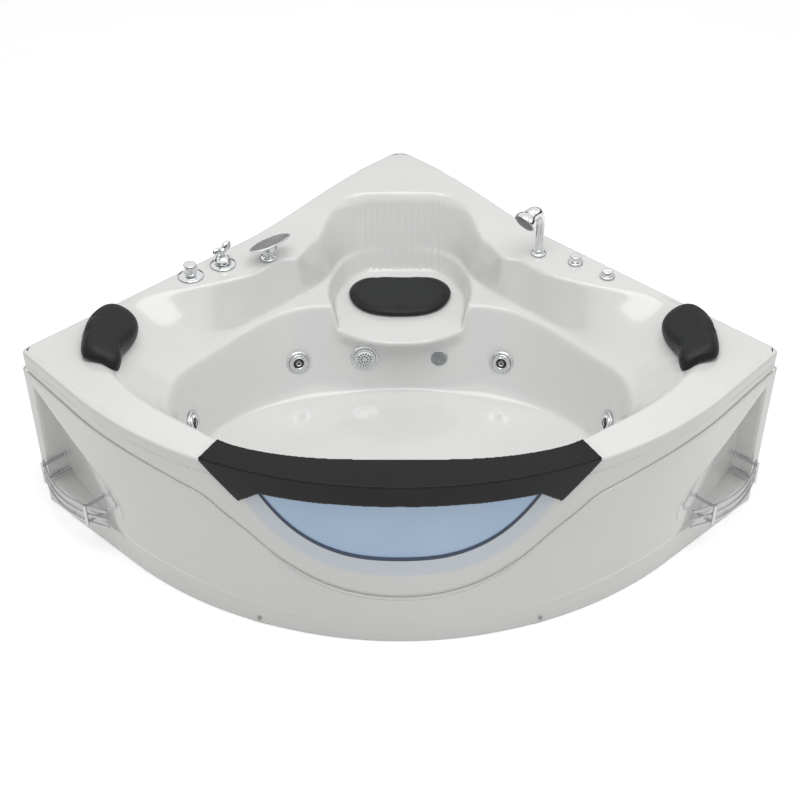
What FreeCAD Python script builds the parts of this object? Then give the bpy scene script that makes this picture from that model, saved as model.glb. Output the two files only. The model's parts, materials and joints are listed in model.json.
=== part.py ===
import FreeCAD, Part
import math
import os

import Sketcher

from FreeCAD import Placement, Rotation, Vector

# Corner bathtub with water jets. Millimetres, +Z up, floor at Z 0.
# X runs across the tub, its back corner points to +Y and its bowed front to -Y.
# "Depth" below is the distance from the room's corner towards the front.
# "Level" is a height measured from the deck, so it is negative inside the tub.

SIZES = {
    # overall
    "side_length": 1520.0,
    "deck_height": 565.0,
    "front_depth": 1667.0,
    "base_front_depth": 1658.0,
    "bow_half_angle": 47.5,
    "base_bow_half_angle": 42.6,
    "back_corner_radius": 45.0,
    "end_corner_radius": 24.0,
    # shell
    "shell_wall": 6.0,
    "rim_drop": 62.0,
    "corner_rise": 53.0,
    "corner_flat_depth": 120.0,
    "corner_slope_end": 492.0,
    "ledge_width": 182.0,
    "ledge_end_width": 24.0,
    "shelf_depth": 272.0,
    "front_rim_width": 104.0,
    "armrest_drop": 145.0,
    "seat_drop": 215.0,
    "floor_drop": 415.0,
    "seat_back_depth": 345.0,
    "seat_half_width": 228.0,
    "lower_back_depth": 676.0,
    "lower_half_width": 646.0,
    "floor_back_depth": 728.0,
    "floor_half_width": 585.0,
    "floor_front_gap": 85.0,
    # window
    "window_half_width": 392.0,
    "window_drop": 266.0,
    "window_frame": 50.0,
    "glass_thickness": 8.0,
    "glass_setback": 14.0,
    "gasket_width": 9.0,
    # handrail cap
    "cap_half_width": 519.0,
    "cap_height": 58.0,
    "cap_thickness": 9.0,
    "cap_overhang": 6.0,
    # front panel
    "panel_thickness": 4.0,
    "panel_proud": 6.0,
    "panel_floor_gap": 3.0,
    "lip_gap": 0.8,
    "crease_end_drop": 62.0,
    "crease_centre_drop": 391.0,
    "niche_depth": 66.0,
    "screw_head_radius": 6.0,
    # soft pieces
    "pillow_length": 290.0,
    "pillow_thickness": 46.0,
    "pad_half_width": 170.0,
    "pad_depth": 200.0,
    "pad_thickness": 24.0,
    "soft_gap": 0.3,
    # racks
    "rack_rod_radius": 4.0,
    "rack_post_span": 239.0,
    "rack_rail_pitch": 29.0,
    "rack_rail_drop": 385.0,
    "rack_bow": 42.0,
    "rosette_radius": 8.0,
    # taps and controls
    "running_gap": 0.3,
    "flange_radius": 39.0,
    "tail_radius": 14.0,
    "diverter_knob_radius": 21.0,
    "diverter_knob_height": 34.0,
    "mixer_dome_radius": 27.0,
    "lever_tilt": 25.0,
    "spout_length": 150.0,
    "spout_width": 82.0,
    "holder_radius": 23.0,
    "handle_radius": 11.0,
    "shower_height": 172.0,
    "shower_head_radius": 36.0,
    "control_flange_radius": 23.0,
    "control_knob_radius": 17.0,
    "control_knob_height": 20.0,
    "button_travel": 4.0,
    # jets, suction, light and drain
    "jet_face_radius": 39.0,
    "jet_body_radius": 26.0,
    "jet_body_length": 58.0,
    "jet_drop": 310.0,
    "suction_radius": 44.0,
    "light_radius": 29.0,
    "drain_radius": 35.0,
    "drain_depth": 1353.0,
    "drain_offset": 245.0,
    "drain_lift": 8.0,
    "waste_radius": 20.0,
    # pipework and pump
    "water_pipe_radius": 16.0,
    "suction_pipe_radius": 25.0,
    "air_pipe_radius": 8.0,
    "pipe_wall": 2.5,
    "inlet_radius": 10.5,
    "pump_depth": 430.0,
    "motor_radius": 62.0,
    "motor_length": 190.0,
    "volute_radius": 80.0,
    # frame
    "frame_tube": 30.0,
    "foot_pad_radius": 28.0,
    "foot_stem_radius": 6.0,
    "foot_travel": 12.0,
}

doc = FreeCAD.newDocument("corner_bathtub")
sheet = doc.addObject("Spreadsheet::Sheet", "Sizes")
for row, (alias, value) in enumerate(SIZES.items(), start=1):
    sheet.set("A%d" % row, alias.replace("_", " "))
    sheet.set("B%d" % row, str(value))
    sheet.setAlias("B%d" % row, alias)
doc.recompute()


def size(alias):
    """The value that the sheet holds for one driving dimension."""
    return float(sheet.get(alias))


NODES = []
ROOT_HALF = math.sqrt(0.5)
HALF_WIDTH = size("side_length") * ROOT_HALF
WALL = size("shell_wall")
DECK = size("deck_height")
GAP = size("running_gap")
BACK_DEPTH = size("back_corner_radius") * (math.sqrt(2) - 1)
CAP_FRONT = size("front_depth") + size("cap_overhang")
BACK_Y = (BACK_DEPTH + CAP_FRONT) / 2
SEAT_OVERRUN = 14.0


def at(x, depth, level=0.0):
    """A point given across the tub, from the room's corner and from the deck."""
    return Vector(x, BACK_Y - depth, DECK + level)


def smooth_step(value):
    """0 to 1 with flat ends."""
    value = min(max(value, 0.0), 1.0)
    return value * value * (3 - 2 * value)


def node(item, label):
    """Register a finished piece under the name it is known by."""
    item.Label = label
    NODES.append(item)
    return item


def feature(label, shape, placement=None):
    """A piece whose shape is worked out here from the sheet's sizes."""
    item = doc.addObject("Part::Feature", label)
    item.Shape = shape
    if placement is not None:
        item.Placement = placement
    return node(item, label)


def fuse_all(shapes):
    """One solid from several that share faces or volume."""
    whole = shapes[0].multiFuse(shapes[1:])
    return whole.removeSplitter()


# ---------------------------------------------------------------- outlines


def plan_outline(front, half_angle, inset, level):
    """The tub's quarter-round plan as a closed wire, moved inwards by inset."""
    angle = math.radians(half_angle)
    sine, cosine = math.sin(angle), math.cos(angle)
    reach = HALF_WIDTH * (sine + cosine)
    bow_radius = (reach - front * cosine) / (1 - cosine)
    bow_centre = front - bow_radius
    bow = bow_radius - inset
    wall_normal = (-ROOT_HALF, -ROOT_HALF)
    front_normal = (-sine, cosine)
    corner = size("end_corner_radius")
    wall_offset = -inset - corner
    front_offset = reach - inset - corner
    cross = wall_normal[0] * front_normal[1] - wall_normal[1] * front_normal[0]
    cx = (wall_offset * front_normal[1] - front_offset * wall_normal[1]) / cross
    cd = (front_offset * wall_normal[0] - wall_offset * front_normal[0]) / cross
    back_radius = size("back_corner_radius")
    back_centre = back_radius * math.sqrt(2)
    back = back_radius

    def end_point(direction):
        length = math.hypot(*direction)
        return (cx + corner * direction[0] / length, cd + corner * direction[1] / length)

    middle = (wall_normal[0] + front_normal[0], wall_normal[1] + front_normal[1])
    left = [
        (0.0, back_centre - back + inset * math.sqrt(2)),
        (-back * ROOT_HALF, back_centre - back * ROOT_HALF + inset * math.sqrt(2)),
        end_point(wall_normal),
        end_point(middle),
        end_point(front_normal),
        (-bow * sine, bow_centre + bow * cosine),
        (0.0, bow_centre + bow),
    ]
    points = [at(x, depth, level) for x, depth in left]
    mirror = [at(-x, depth, level) for x, depth in left]
    edges = [
        Part.Arc(mirror[1], points[0], points[1]).toShape(),
        Part.makeLine(points[1], points[2]),
        Part.Arc(points[2], points[3], points[4]).toShape(),
        Part.makeLine(points[4], points[5]),
        Part.Arc(points[5], points[6], mirror[5]).toShape(),
        Part.makeLine(mirror[5], mirror[4]),
        Part.Arc(mirror[4], mirror[3], mirror[2]).toShape(),
        Part.makeLine(mirror[2], mirror[1]),
    ]
    return Part.Wire(edges)


def tub_outline(inset, level):
    """The plan at one level: upright rim, then a slight taper to the base."""
    rim = -size("rim_drop")
    share = max(0.0, (rim - level) / (DECK + rim))
    front = size("front_depth") + share * (size("base_front_depth") - size("front_depth"))
    angle = size("bow_half_angle") + share * (size("base_bow_half_angle") - size("bow_half_angle"))
    return plan_outline(front, angle, inset, level)


def tub_taper(inset, low, high):
    """The tub's outer form below its rim, between two levels."""
    return Part.makeLoft([tub_outline(inset, high), tub_outline(inset, low)], True, True)


def rim_prism(inset, low, high):
    """Upright prism over the tub's plan."""
    return Part.Face(tub_outline(inset, 0.0)).extrude(Vector(0, 0, high - low)).translated(
        Vector(0, 0, low)
    )


def closed_spline(points, level):
    """A closed smooth wire through a left half and its mirror image."""
    left = [at(x, depth, level) for x, depth in points]
    right = [at(-x, depth, level) for x, depth in reversed(points[1:-1])]
    curve = Part.BSplineCurve()
    curve.interpolate(left + right, PeriodicFlag=True)
    return Part.Wire([curve.toShape()])


def deck_profile(lowered):
    """The deck's height along the tub's centre line, as a broad solid."""
    flat_end = size("corner_flat_depth")
    slope_end = size("corner_slope_end")
    steps = 10
    knots = []
    for step in range(steps + 1):
        depth = flat_end + (slope_end - flat_end) * step / steps
        rise = size("corner_rise") * (1 - smooth_step(step / steps))
        knots.append(at(-HALF_WIDTH * 2, depth, rise - lowered))
    slope = Part.BSplineCurve()
    slope.interpolate(knots)
    reach = size("front_depth") * 1.2
    floor = -size("crease_centre_drop") * 1.3
    corner_back = at(-HALF_WIDTH * 2, -reach * 0.1, size("corner_rise") - lowered)
    front_top = at(-HALF_WIDTH * 2, reach, -lowered)
    front_low = at(-HALF_WIDTH * 2, reach, floor)
    back_low = at(-HALF_WIDTH * 2, -reach * 0.1, floor)
    edges = [
        Part.makeLine(corner_back, knots[0]),
        slope.toShape(),
        Part.makeLine(knots[-1], front_top),
        Part.makeLine(front_top, front_low),
        Part.makeLine(front_low, back_low),
        Part.makeLine(back_low, corner_back),
    ]
    return Part.Face(Part.Wire(edges)).extrude(Vector(HALF_WIDTH * 4, 0, 0))


def along_wall(along, inward):
    """Left-hand plan position from distances along and away from the wall."""
    return (-(along - inward) * ROOT_HALF, (along + inward) * ROOT_HALF)


def well_points(grow):
    """Left half of the well's upper edge, from the back to the front."""
    side = size("side_length")
    ledge = size("ledge_width")
    end = size("ledge_end_width")
    shelf = size("shelf_depth")
    front = size("front_depth") - size("front_rim_width")
    points = [
        (0.0, shelf - 4),
        (-shelf * 0.40, shelf),
        along_wall(shelf * 1.25, shelf * 0.33),
        along_wall(ledge * 2.44, ledge * 0.72),
        along_wall(side * 0.380, ledge),
        along_wall(side * 0.440, ledge),
        along_wall(side * 0.507, ledge * 0.94),
        along_wall(side * 0.567, ledge * 0.81),
        along_wall(side * 0.639, ledge * 0.47 + end * 0.5),
        along_wall(side * 0.737, end),
        along_wall(side * 0.796, end + 12),
        (-HALF_WIDTH + 207, HALF_WIDTH - 115),
        (-HALF_WIDTH + 203, HALF_WIDTH - 35),
        (-HALF_WIDTH + 227, HALF_WIDTH + 35),
        (-HALF_WIDTH + 272, HALF_WIDTH + 99),
        (-HALF_WIDTH + 328, HALF_WIDTH + 171),
        (-HALF_WIDTH + 409, HALF_WIDTH + 252),
        (-HALF_WIDTH + 495, front - 185),
        (-HALF_WIDTH + 590, front - 90),
        (-HALF_WIDTH * 0.34, front - 34),
        (-HALF_WIDTH * 0.22, front - 8),
        (-HALF_WIDTH * 0.10, front),
        (0.0, front),
    ]
    return grown(points, grow)


def armrest_points(grow):
    """Left half of the upper well where it meets the armrest ledge."""
    front = size("front_depth") - size("front_rim_width")
    back = size("seat_back_depth")
    points = [
        (0.0, back - 27),
        (-back * 0.32, back - 23),
        (-back * 0.55, back + 27),
        (-HALF_WIDTH * 0.228, HALF_WIDTH * 0.437),
        (-HALF_WIDTH * 0.294, HALF_WIDTH * 0.544),
        (-HALF_WIDTH * 0.400, HALF_WIDTH * 0.621),
        (-HALF_WIDTH * 0.484, HALF_WIDTH * 0.693),
        (-HALF_WIDTH * 0.568, HALF_WIDTH * 0.780),
        (-HALF_WIDTH * 0.630, HALF_WIDTH * 0.870),
        (-HALF_WIDTH * 0.657, HALF_WIDTH * 0.965),
        (-HALF_WIDTH * 0.640, HALF_WIDTH * 1.060),
        (-HALF_WIDTH * 0.586, HALF_WIDTH * 1.150),
        (-HALF_WIDTH * 0.507, front - 225),
        (-HALF_WIDTH * 0.409, front - 125),
        (-HALF_WIDTH * 0.279, front - 50),
        (-HALF_WIDTH * 0.140, front - 14),
        (0.0, front - 6),
    ]
    return grown(points, grow)


def lower_points(share, grow):
    """Left half of the lower well; share 0 is its top, 1 its floor."""
    back = size("lower_back_depth") + share * (size("floor_back_depth") - size("lower_back_depth"))
    half = size("lower_half_width") + share * (size("floor_half_width") - size("lower_half_width"))
    front = size("front_depth") - size("front_rim_width") - 12
    front -= share * size("floor_front_gap")
    middle = (back + front) / 2
    points = [
        (0.0, back),
        (-half * 0.25, back + 4),
        (-half * 0.50, back + 26),
        (-half * 0.74, back + 96),
        (-half * 0.91, back + 205),
        (-half, middle - 40),
        (-half * 0.97, middle + 70),
        (-half * 0.85, front - 205),
        (-half * 0.66, front - 105),
        (-half * 0.40, front - 38),
        (-half * 0.18, front - 8),
        (0.0, front),
    ]
    return grown(points, grow)


def grown(points, grow):
    """Move an outline outwards along its own normals."""
    result = []
    last = len(points) - 1
    for index, (x, depth) in enumerate(points):
        before = points[max(index - 1, 0)]
        after = points[min(index + 1, last)]
        if index == 0:
            before = (-after[0], after[1])
        if index == last:
            after = (-before[0], before[1])
        along = (after[0] - before[0], after[1] - before[1])
        length = math.hypot(*along)
        result.append((x - grow * along[1] / length, depth + grow * along[0] / length))
    return result


def seat_hollow(grow, drop):
    """The rounded seat in the back corner, open to the lower well."""
    back = size("seat_back_depth") - grow
    front = size("lower_back_depth") + SEAT_OVERRUN + grow
    half = size("seat_half_width") + grow
    middle = (back + front) / 2
    points = [
        (0.0, back),
        (-half * 0.45, back + 12),
        (-half * 0.84, back + 70),
        (-half, middle),
        (-half * 0.98, front - 60),
        (-half * 0.80, front - 6),
        (-half * 0.40, front),
        (0.0, front),
    ]
    top = closed_spline(points, -size("armrest_drop") + 12)
    low = closed_spline(points, -size("seat_drop") - drop)
    return Part.makeLoft([top, low], True, True)


def well_solid(grow, drop, top_level):
    """Everything that is hollow inside the tub, or its outside when grown."""
    arm = -size("armrest_drop") - drop
    floor = -size("floor_drop") - drop
    upper = Part.makeLoft(
        [
            closed_spline(well_points(grow), top_level),
            closed_spline(well_points(grow), -18.0),
            closed_spline(armrest_points(grow), arm),
        ],
        True,
        True,
    )
    lower = Part.makeLoft(
        [
            closed_spline(lower_points(0.0, grow), arm + 20),
            closed_spline(lower_points(0.42, grow), -size("jet_drop")),
            closed_spline(lower_points(0.80, grow), floor + 30),
            closed_spline(lower_points(1.30, grow), floor),
        ],
        True,
        True,
    )
    return upper, lower, seat_hollow(grow, drop)


# ---------------------------------------------------------------- window


def window_outline(grow, depth, base_level):
    """Half-moon outline of the glazed opening, as a wire in an upright plane."""
    half = size("window_half_width") + grow
    drop = size("window_drop") + grow
    top = base_level
    points = [
        at(-half, depth, top),
        at(-half * 0.89, depth, top - (drop + top) * 0.30),
        at(-half * 0.69, depth, top - (drop + top) * 0.68),
        at(-half * 0.36, depth, top - (drop + top) * 0.95),
        at(0, depth, -drop),
        at(half * 0.36, depth, top - (drop + top) * 0.95),
        at(half * 0.69, depth, top - (drop + top) * 0.68),
        at(half * 0.89, depth, top - (drop + top) * 0.30),
        at(half, depth, top),
    ]
    curve = Part.BSplineCurve()
    curve.interpolate(points)
    return Part.Wire([curve.toShape(), Part.makeLine(points[-1], points[0])])


def window_prism(grow, top_level):
    """The half-moon carried right through the front wall."""
    start = size("front_depth") - size("front_rim_width") - 260
    face = Part.Face(window_outline(grow, start, top_level))
    return face.extrude(Vector(0, -(size("front_depth") * 1.1 - start), 0))


def crease_wire_points():
    """The front panel's top edge, left half: flat, then a deep S to the middle."""
    end = size("crease_end_drop")
    centre = size("crease_centre_drop")
    half = HALF_WIDTH
    shares = [(1.02, 0.0), (0.77, 0.05), (0.61, 0.10), (0.53, 0.15), (0.48, 0.20), (0.44, 0.30)]
    shares += [(0.38, 0.45), (0.32, 0.63), (0.25, 0.79), (0.19, 0.89), (0.12, 0.96), (0.0, 1.0)]
    return [(-half * x, -(end + (centre - end) * z)) for x, z in shares]


def below_crease(offset):
    """All that lies under the S line, as a broad solid across the front."""
    half = crease_wire_points()
    points = [at(x, 0, level + offset) for x, level in half]
    points += [at(-x, 0, level + offset) for x, level in reversed(half[:-1])]
    curve = Part.BSplineCurve()
    curve.interpolate(points)
    low_left = at(half[0][0], 0, -DECK * 1.1)
    low_right = at(-half[0][0], 0, -DECK * 1.1)
    edges = [
        curve.toShape(),
        Part.makeLine(points[-1], low_right),
        Part.makeLine(low_right, low_left),
        Part.makeLine(low_left, points[0]),
    ]
    face = Part.Face(Part.Wire(edges))
    return face.extrude(Vector(0, -size("front_depth") * 1.2, 0))


def behind_and_below():
    """The space under the rim, behind the line that joins the two wall ends."""
    front = HALF_WIDTH - 2
    corner = at(-HALF_WIDTH * 1.1, front, -DECK * 1.1)
    return Part.makeBox(HALF_WIDTH * 2.2, front * 1.1, DECK * 1.1 - size("rim_drop"), corner)


# ---------------------------------------------------------------- shell


def outer_form(inset, low):
    """Rim with its raised corner above, tapered front below, moved in by inset."""
    rim = rim_prism(inset, -size("rim_drop"), size("corner_rise") + 20)
    rim = rim.common(deck_profile(inset))
    return rim.fuse(tub_taper(inset, low, -size("rim_drop")))


def make_shell():
    """Acrylic tub: deck and rim, basin with seat and armrests, window frame."""
    low = -size("crease_centre_drop") - 60
    outer = outer_form(0.0, low)
    inner = outer_form(WALL, low - 1)
    frame = window_prism(size("window_frame") + 3 * WALL, -WALL - 1)
    whole = outer.cut(inner.cut(frame))
    whole = whole.cut(behind_and_below())
    whole = whole.cut(below_crease(-24.0))
    recess = window_prism(size("window_frame"), -WALL - 26)
    whole = whole.cut(recess.cut(tub_taper(WALL * 0.75, low, -WALL - 20)))
    for basin in well_solid(WALL, WALL, size("corner_rise") + 20):
        whole = whole.fuse(basin.common(deck_profile(0.0)))
    for hollow in well_solid(0.0, 0.0, size("corner_rise") + 20):
        whole = whole.cut(hollow)
    return whole.cut(window_prism(0.0, -WALL - 24))


class Length:
    """A size with the words that tie it to the sheet's cells."""

    def __init__(self, value, text):
        self.value = value
        self.text = text

    def combine(self, other, sign, value):
        words = other.text if isinstance(other, Length) else repr(float(other))
        return Length(value, "(%s %s %s)" % (self.text, sign, words))

    def __add__(self, other):
        return self.combine(other, "+", self.value + plain(other))

    def __sub__(self, other):
        return self.combine(other, "-", self.value - plain(other))

    def __mul__(self, other):
        return self.combine(other, "*", self.value * plain(other))

    def __neg__(self):
        return Length(-self.value, "(0 - %s)" % self.text)


def plain(value):
    """The number in a Length, or the number itself."""
    return value.value if isinstance(value, Length) else float(value)


def cell(alias):
    """A Length that follows one cell of the sheet."""
    return Length(size(alias), "Sizes." + alias)


def facing(direction):
    """The turn that takes +Z to a direction."""
    return Rotation(Vector(0, 0, 1), direction)


UP = Vector(0, 0, 1)
DOWN = Vector(0, 0, -1)


def closed_sketch(body, plane_role, corners):
    """A closed polygon in one of the body's planes, every corner tied to sizes."""
    sketch = body.newObject("Sketcher::SketchObject", body.Name + "_outline")
    plane = [item for item in body.Origin.OriginFeatures if item.Role == plane_role][0]
    sketch.AttachmentSupport = (plane, [""])
    sketch.MapMode = "FlatFace"
    count = len(corners)
    for index in range(count):
        start = corners[index]
        end = corners[(index + 1) % count]
        first = Vector(plain(start[0]), plain(start[1]), 0)
        second = Vector(plain(end[0]), plain(end[1]), 0)
        sketch.addGeometry(Part.LineSegment(first, second), False)
    for index in range(count):
        following = (index + 1) % count
        sketch.addConstraint(Sketcher.Constraint("Coincident", index, 2, following, 1))
    for index, corner in enumerate(corners):
        for kind, axis, value in (("DistanceX", -2, corner[0]), ("DistanceY", -1, corner[1])):
            if abs(plain(value)) < 1e-9:
                sketch.addConstraint(Sketcher.Constraint("PointOnObject", index, 1, axis))
                continue
            rule = Sketcher.Constraint(kind, -1, 1, index, 1, plain(value))
            number = sketch.addConstraint(rule)
            if isinstance(value, Length):
                sketch.setExpression("Constraints[%d]" % number, value.text)
    return sketch


def turned(label, corners, place=None, direction=UP, keep=True):
    """A lathe-turned piece from its half section: (radius, height) corners."""
    body = doc.addObject("PartDesign::Body", label)
    sketch = closed_sketch(body, "XZ_Plane", corners)
    turn = body.newObject("PartDesign::Revolution", label + "_turn")
    turn.Profile = sketch
    turn.ReferenceAxis = (sketch, ["V_Axis"])
    turn.Angle = 360.0
    if place is not None:
        body.Placement = Placement(place, facing(direction))
    return node(body, label) if keep else body


def ring_corners(inner, outer, low, high):
    """Half section of a plain ring."""
    return [(inner, low), (outer, low), (outer, high), (inner, high)]


# ---------------------------------------------------------------- wall places


LOWER_HOLLOW = well_solid(0.0, 0.0, size("corner_rise") + 20)[1]


def wall_hit(start, direction):
    """Where a straight line leaves the lower well."""
    line = Part.makeLine(start, start + direction * HALF_WIDTH)
    inside = LOWER_HOLLOW.common(line)
    return max((corner.Point for corner in inside.Vertexes), key=lambda q: q.distanceToPoint(start))


def wall_place(x, depth, level, direction):
    """Point on the well's wall, and the direction that faces the bather."""
    start = at(x, depth, level)
    side = direction.cross(UP)
    reach = size("jet_body_radius")
    centre = wall_hit(start, direction)
    left = wall_hit(start - side * reach, direction)
    right = wall_hit(start + side * reach, direction)
    top = wall_hit(start + UP * reach * 0.4, direction)
    low = wall_hit(start - UP * reach * 0.4, direction)
    normal = (right - left).cross(top - low)
    normal.normalize()
    if normal.dot(direction) > 0:
        normal = normal * -1
    return centre, normal


SEAT = 1.6
MIDDLE_DEPTH = HALF_WIDTH
JET_LEVEL = -size("jet_drop")
BACKWARD = Vector(0, 1, 0)
JETS = {
    "jet_left_side": wall_place(-300, MIDDLE_DEPTH - 48, JET_LEVEL, Vector(-1, 0, 0)),
    "jet_left_back": wall_place(-320, MIDDLE_DEPTH, JET_LEVEL, BACKWARD),
    "jet_right_back": wall_place(320, MIDDLE_DEPTH, JET_LEVEL, BACKWARD),
    "jet_right_side": wall_place(300, MIDDLE_DEPTH - 48, JET_LEVEL, Vector(1, 0, 0)),
}
SUCTION = wall_place(-112, MIDDLE_DEPTH, JET_LEVEL, BACKWARD)
LIGHT = wall_place(123, MIDDLE_DEPTH, JET_LEVEL, BACKWARD)
DRAIN = at(-size("drain_offset"), size("drain_depth"), -size("floor_drop"))

# Taps stand on the left ledge, the hand shower and controls on the right one.
TAPS = {
    "diverter": at(-633, 701),
    "mixer": at(-542, 637),
    "spout": at(-406, 600),
    "holder": at(429, 574),
    "switch": at(538, 626),
    "regulator": at(627, 703),
}


def hole(place, direction, radius, reach):
    """A round cutter centred on a place and running both ways."""
    return Part.makeCylinder(radius, 2 * reach, place - direction * reach, direction)


def shell_holes():
    """Every fitting's hole through the tub."""
    tail = size("tail_radius") + GAP
    cutters = [hole(place, UP, tail, 3 * WALL) for place in TAPS.values()]
    for place, normal in JETS.values():
        cutters.append(hole(place, normal, size("jet_body_radius") + GAP, 4 * WALL))
    cutters.append(hole(SUCTION[0], SUCTION[1], size("jet_body_radius") + GAP, 4 * WALL))
    cutters.append(hole(LIGHT[0], LIGHT[1], size("tail_radius") + GAP, 4 * WALL))
    flats = [(place, normal, size("jet_face_radius")) for place, normal in JETS.values()]
    flats.append((SUCTION[0], SUCTION[1], size("suction_radius")))
    flats.append((LIGHT[0], LIGHT[1], size("light_radius")))
    for place, normal, radius in flats:
        cutters.append(Part.makeCylinder(radius + GAP, 30, place + normal * (SEAT - GAP), normal))
    cutters.append(hole(DRAIN, UP, size("waste_radius") + 4 + GAP, 3 * WALL))
    return cutters


shell_shape = make_shell()
for cutter in shell_holes():
    shell_shape = shell_shape.cut(cutter)
feature("tub_shell", shell_shape)


# ---------------------------------------------------------------- window


def make_window():
    """Curved glass pane held in a rubber gasket round the half-moon opening."""
    setback = size("glass_setback")
    thick = size("glass_thickness")
    width = size("gasket_width")
    low = -size("crease_centre_drop")
    top = -WALL - 24
    glass = tub_taper(setback, low, -1.0).cut(tub_taper(setback + thick, low - 1, 0.0))
    glass = glass.common(window_prism(-width / 2, top - width / 2))
    rubber = tub_taper(setback - 3, low, -1.0).cut(tub_taper(setback + thick + 3, low - 1, 0.0))
    rubber = rubber.common(window_prism(0.0, top).cut(window_prism(-width, top - width)))
    rubber = rubber.cut(glass)
    return front_solid(glass), front_solid(rubber)


def front_solid(shape):
    """The piece of a cut shell that lies at the tub's front."""
    return min(shape.Solids, key=lambda solid: solid.BoundBox.YMin)


glass_shape, gasket_shape = make_window()
feature("window_glass", glass_shape)
feature("window_gasket", gasket_shape)


# ---------------------------------------------------------------- handrail cap


def upright_prism(corners):
    """Prism across the tub's front from an outline of (x, level) corners."""
    points = [at(x, 0, level) for x, level in corners]
    face = Part.Face(Part.makePolygon(points + points[:1]))
    return face.extrude(Vector(0, -size("front_depth") * 1.2, 0))


def plan_prism(corners, low, high):
    """Upright prism from an outline of (x, depth) corners."""
    points = [at(x, depth, low) for x, depth in corners]
    face = Part.Face(Part.makePolygon(points + points[:1]))
    return face.extrude(Vector(0, 0, high - low))


def make_cap():
    """Black cap: lies on the front rim and turns down over the shell's face."""
    half = size("cap_half_width")
    drop = size("cap_height")
    top = size("cap_thickness")
    front = size("front_depth")
    proud = size("cap_overhang")
    rim = size("front_rim_width")
    over = front_form(-proud, drop * 2.4, top).cut(front_form(0.0, drop * 2.4 + 1, 0.0))
    face = [
        (-half - 3, top + 1),
        (-half, 0),
        (-half * 0.806, -drop * 1.83),
        (-half * 0.698, -drop * 1.10),
        (0, -drop),
    ]
    face += [(-x, level) for x, level in reversed(face[:-1])]
    over = over.common(upright_prism(face))
    across = [(-half - 27, front - 56), (-half * 0.894, front - rim * 1.95)]
    across += [(-x, depth) for x, depth in reversed(across)]
    across += [(half + 27, front * 1.1), (-half - 27, front * 1.1)]
    over = over.common(plan_prism(across, -drop * 3, top + 5))
    well = Part.Face(closed_spline(well_points(0.0), -drop * 3)).extrude(Vector(0, 0, drop * 5))
    return front_solid(over.cut(well))


def front_form(inset, drop, top):
    """The tub's plan as a prism down to rim level and a taper below it."""
    rim = -size("rim_drop")
    block = rim_prism(inset, rim, top)
    return block.fuse(tub_taper(inset, -drop, rim))


feature("handrail_cap", make_cap())


# ---------------------------------------------------------------- front panel


END_ANGLE = math.radians((size("bow_half_angle") + size("base_bow_half_angle")) / 2)


def end_place(side, along, out, level):
    """A point by the tub's end: along its straight front, and out from it."""
    x = -HALF_WIDTH + along * math.cos(END_ANGLE) - out * math.sin(END_ANGLE)
    depth = HALF_WIDTH + along * math.sin(END_ANGLE) + out * math.cos(END_ANGLE)
    return at(-side * x, depth, level)


def end_direction(side, along, out, up):
    """A direction by the tub's end, in the same terms."""
    return end_place(side, along, out, up) - end_place(side, 0, 0, 0)


def niche_form(side, grow):
    """Scooped recess behind the rack: deep by the wall end, shallow inwards."""
    deep = size("niche_depth")
    low = -size("rack_rail_drop") - 84
    mouth = [(56 - grow, -106 + grow), (42 - grow, low - grow), (452 + grow * 3, low - grow)]
    mouth += [(452 + grow * 3, -350 + grow * 2)]
    back = [(66 - grow, -180 + grow), (56 - grow, low + 8 - grow), (414 + grow * 2, low + 8 - grow)]
    back += [(414 + grow * 2, -354 + grow)]
    back_out = [-deep - grow + (along - 56) * (deep - 9) / 358 for along, level in back]
    mouth_out = 22 + grow * 0.5
    front = [end_place(side, along, mouth_out, level) for along, level in mouth]
    rear = [end_place(side, q[0], out, q[1]) for q, out in zip(back, back_out)]
    wires = [Part.makePolygon(ends + ends[:1]) for ends in (front, rear)]
    return Part.makeLoft(wires, True, True)


def make_panel():
    """Removable front panel with its S-shaped top edge and two end niches."""
    proud = size("panel_proud")
    thick = size("panel_thickness")
    low = -DECK + size("panel_floor_gap")
    top = -size("crease_end_drop") + 8
    outer = tub_taper(-proud, low, top)
    room = tub_taper(-proud + thick, low - 1, top + 1)
    for side in (-1, 1):
        room = room.cut(niche_form(side, thick))
    lip_room = tub_taper(-size("lip_gap"), low - 1, top + 1)
    lip = outer.cut(lip_room).cut(below_crease(-12.0))
    whole = outer.cut(room).fuse(lip)
    for side in (-1, 1):
        whole = whole.cut(niche_form(side, 0.0))
    whole = whole.common(below_crease(0.0)).cut(behind_front())
    return front_solid(whole)


def behind_front():
    """Everything behind the line that joins the two wall ends."""
    front = HALF_WIDTH - 2
    corner = at(-HALF_WIDTH * 1.1, front, -DECK * 1.1)
    return Part.makeBox(HALF_WIDTH * 2.2, front * 1.1, DECK * 1.2, corner)


SCREW_LEVEL = -DECK + 22
SCREW_X = (-0.915 * HALF_WIDTH, -0.362 * HALF_WIDTH, 0.362 * HALF_WIDTH, 0.915 * HALF_WIDTH)


def panel_hit(x):
    """Point on the panel's outer face low down, and the way it faces."""
    low = -DECK + size("panel_floor_gap")
    outer = tub_taper(-size("panel_proud"), low, -size("crease_end_drop") + 8)
    hits = []
    for place, level in ((x, SCREW_LEVEL), (x + 5, SCREW_LEVEL), (x, SCREW_LEVEL + 10)):
        line = Part.makeLine(at(place, HALF_WIDTH, level), at(place, HALF_WIDTH * 2, level))
        hits.append(min((q.Point for q in outer.common(line).Vertexes), key=lambda q: q.y))
    normal = (hits[1] - hits[0]).cross(hits[2] - hits[0])
    normal.normalize()
    return hits[0], normal


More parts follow.
